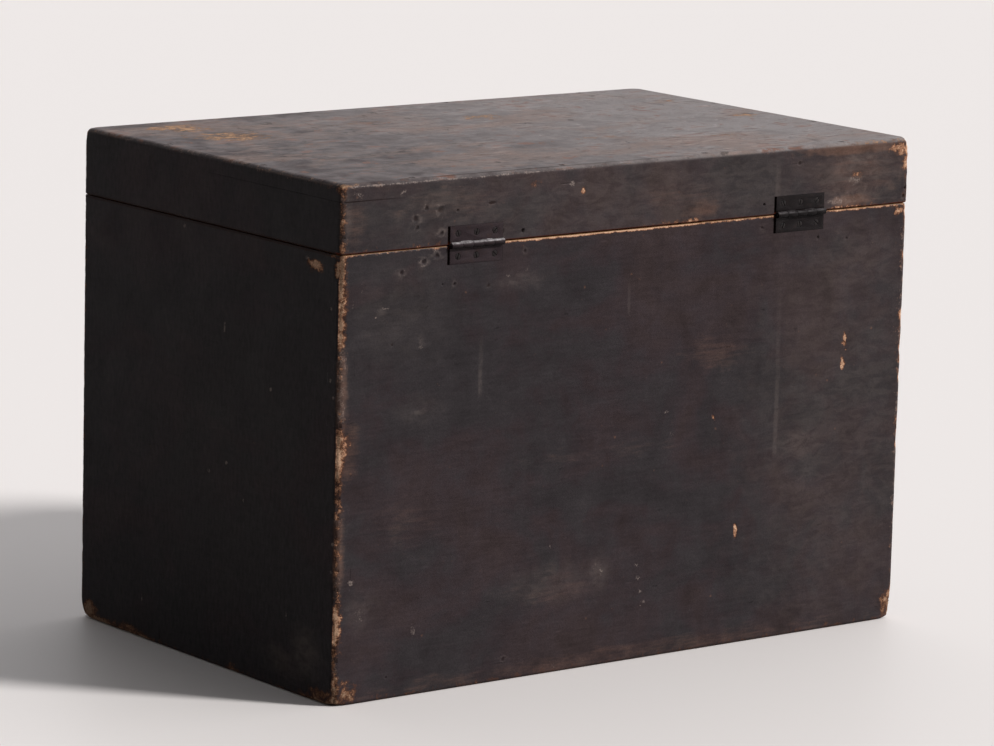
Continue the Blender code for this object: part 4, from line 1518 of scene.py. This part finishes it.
@dataclass(frozen=True)
class Studio:
    """The plain floor, soft light and camera around the chest.

    Attributes:
        floor_size: The floor's width, in metres.
        floor_colour: The floor's colour.
        bounce_colour: The floor's colour in the light that it throws back.
        backdrop: The background's colour.
        key_heading: Where the key light stands, as an angle from +X in degrees.
        key_height: The key light's height angle, in degrees.
        key_strength: The key light's strength.
        key_softness: The key light's width, in degrees.
        key_colour: The key light's colour.
        key_distance: How far off the key light is hung, in metres.
        soft_colour: The soft light's colour.
        bright_side: The direction that most of the soft light comes from.
        bright_level: The soft light's level on that side.
        dim_level: Its level on the other side.
        camera_place: Where the camera stands, in metres.
        camera_heading: Which way it looks, in degrees.
        camera_tilt: How far it is tipped up from looking down, in degrees.
        camera_roll: How far it leans, in degrees.
        sensor_width: The sensor's width, in millimetres.
        focal_length: The lens's focal length, in millimetres.
        camera_range: How far the camera sees, in metres.
    """

    floor_size: float = 60.0
    floor_colour: Colour = srgb(234, 230, 229)
    bounce_colour: Colour = srgb(122, 120, 119)
    backdrop: Colour = srgb(238, 236, 238)
    key_heading: float = 132.0
    key_height: float = 36.0
    key_strength: float = 3.3
    key_softness: float = 9.0
    key_colour: Point = (1.0, 0.98, 0.96)
    key_distance: float = 5.0
    soft_colour: Colour = srgb(253, 251, 251)
    bright_side: Point = (-0.85, -0.38, 0.36)
    bright_level: float = 1.0
    dim_level: float = 0.075
    camera_place: Point = (3.3413, 4.3371, 1.2987)
    camera_heading: float = 142.363
    camera_tilt: float = 79.501
    camera_roll: float = 1.461
    sensor_width: float = 36.0
    focal_length: float = 177.45
    camera_range: float = 200.0

    def build(self) -> None:
        """Build the floor, the key light, the world and the camera."""
        self._floor()
        self._key()
        self._world()
        self._camera()

    def _floor(self) -> None:
        """Lay a plain pale floor, which throws little light back on the chest."""
        work = bmesh.new()
        bmesh.ops.create_grid(work, x_segments=4, y_segments=4, size=0.5 * self.floor_size)
        mesh = bpy.data.meshes.new("studio_floor")
        work.to_mesh(mesh)
        work.free()
        sheet = Sheet("studio_floor")
        sheet.show("Base Color", sheet.blend(sheet.seen(), self.bounce_colour, self.floor_colour))
        sheet.show("Roughness", 0.5)
        sheet.show("Specular IOR Level", 0.2)
        mesh.materials.append(sheet.material)
        floor = bpy.data.objects.new("studio_floor", mesh)
        bpy.context.scene.collection.objects.link(floor)

    def _key(self) -> None:
        """Hang the soft key light at the picture's right."""
        lamp = bpy.data.lights.new("key_light", "SUN")
        lamp.energy = self.key_strength
        lamp.angle = math.radians(self.key_softness)
        lamp.color = self.key_colour
        key = bpy.data.objects.new("key_light", lamp)
        heading = math.radians(self.key_heading)
        height = math.radians(self.key_height)
        level = math.cos(height)
        away = Vector((math.cos(heading) * level, math.sin(heading) * level, math.sin(height)))
        key.rotation_euler = away.to_track_quat("Z", "Y").to_euler()
        key.location = away * self.key_distance
        bpy.context.scene.collection.objects.link(key)

    def _world(self) -> None:
        """Light softly from all round, brighter from one side, with a pale background."""
        world = bpy.data.worlds.new("studio")
        bpy.context.scene.world = world
        world.use_nodes = True
        tree = Tree(world.node_tree)
        direction = tree.node("ShaderNodeTexCoord", "Generated", {})
        feeds = {0: direction, 1: Vector(self.bright_side).normalized()}
        side = tree.node("ShaderNodeVectorMath", "Value", feeds, operation="DOT_PRODUCT")
        soft = tree.nodes["Background"]
        tree.feed(soft.inputs["Color"], self.soft_colour)
        tree.feed(soft.inputs["Strength"], side.spread(-0.05, 0.98, self.dim_level, self.bright_level))
        backdrop = tree.node("ShaderNodeBackground", "Background", {"Color": self.backdrop})
        feeds = {"Fac": tree.seen(), 1: Signal(tree, soft.outputs["Background"]), 2: backdrop}
        surface = tree.node("ShaderNodeMixShader", "Shader", feeds)
        tree.feed(tree.nodes["World Output"].inputs["Surface"], surface)

    def _camera(self) -> None:
        """Stand the camera where the photograph was taken."""
        lens = bpy.data.cameras.new("photo_camera")
        lens.sensor_fit = "HORIZONTAL"
        lens.sensor_width = self.sensor_width
        lens.lens = self.focal_length
        lens.clip_end = self.camera_range
        camera = bpy.data.objects.new("photo_camera", lens)
        heading = Matrix.Rotation(math.radians(self.camera_heading), 4, "Z")
        tilt = Matrix.Rotation(math.radians(self.camera_tilt), 4, "X")
        roll = Matrix.Rotation(math.radians(self.camera_roll), 4, "Z")
        camera.matrix_world = Matrix.Translation(self.camera_place) @ heading @ tilt @ roll
        bpy.context.scene.collection.objects.link(camera)
        bpy.context.scene.camera = camera


def main() -> None:
    """Build the chest and its studio in order."""
    logging.basicConfig(level=logging.INFO, format="%(message)s")
    bpy.context.scene.view_settings.view_transform = "Standard"
    Studio().build()
    long_paint = PaintedPine("painted_long_board", Grain.ALONG_X).make()
    back_paint = PaintedPine("painted_back_board", Grain.ALONG_X, runs=BACK_RUNS).make()
    # The end boards' paint is a darker copy of the rest: painted shade on the ends.
    shaded_end_paint = PaintedPine("painted_end_board_shaded", Grain.ALONG_Y, brownness=0.2, weave=1.6,
                            black=srgb(47, 41, 43), slate=srgb(45, 42, 43)).make()
    rail_paint = PaintedPine("painted_lid_rail", Grain.ALONG_X, runs=LID_RUNS, brownness=0.5).make()
    top_paint = PaintedPine("painted_top_board", Grain.ALONG_X, sheen=0.02).make()
    nail_steel = FastenerSteel("nail_steel", srgb(48, 40, 41), srgb(62, 44, 37)).make()
    brown_iron = HingeIron("brown_hinge_iron", srgb(50, 41, 44), srgb(56, 43, 40),
                           srgb(186, 182, 184), 1.0).make()
    black_iron = HingeIron("black_hinge_iron", srgb(28, 24, 25), srgb(44, 36, 35),
                           srgb(88, 84, 86), 0.6).make()
    # The screws are darker than the steel would be: partly painted shade in their sunk holes.
    shaded_brown_screw = FastenerSteel("shaded_brown_screw", srgb(31, 24, 25), srgb(16, 12, 12)).make()
    shaded_black_screw = FastenerSteel("shaded_black_screw", srgb(24, 21, 22), srgb(38, 32, 31)).make()
    Carcass(long_paint, back_paint, shaded_end_paint, nail_steel).build()
    Lid(top_paint, rail_paint, shaded_end_paint, nail_steel).build()
    ButtHinge("right", brown_iron, shaded_brown_screw).build()
    ButtHinge("left", black_iron, shaded_black_screw).build()


if __name__ == "__main__":
    main()
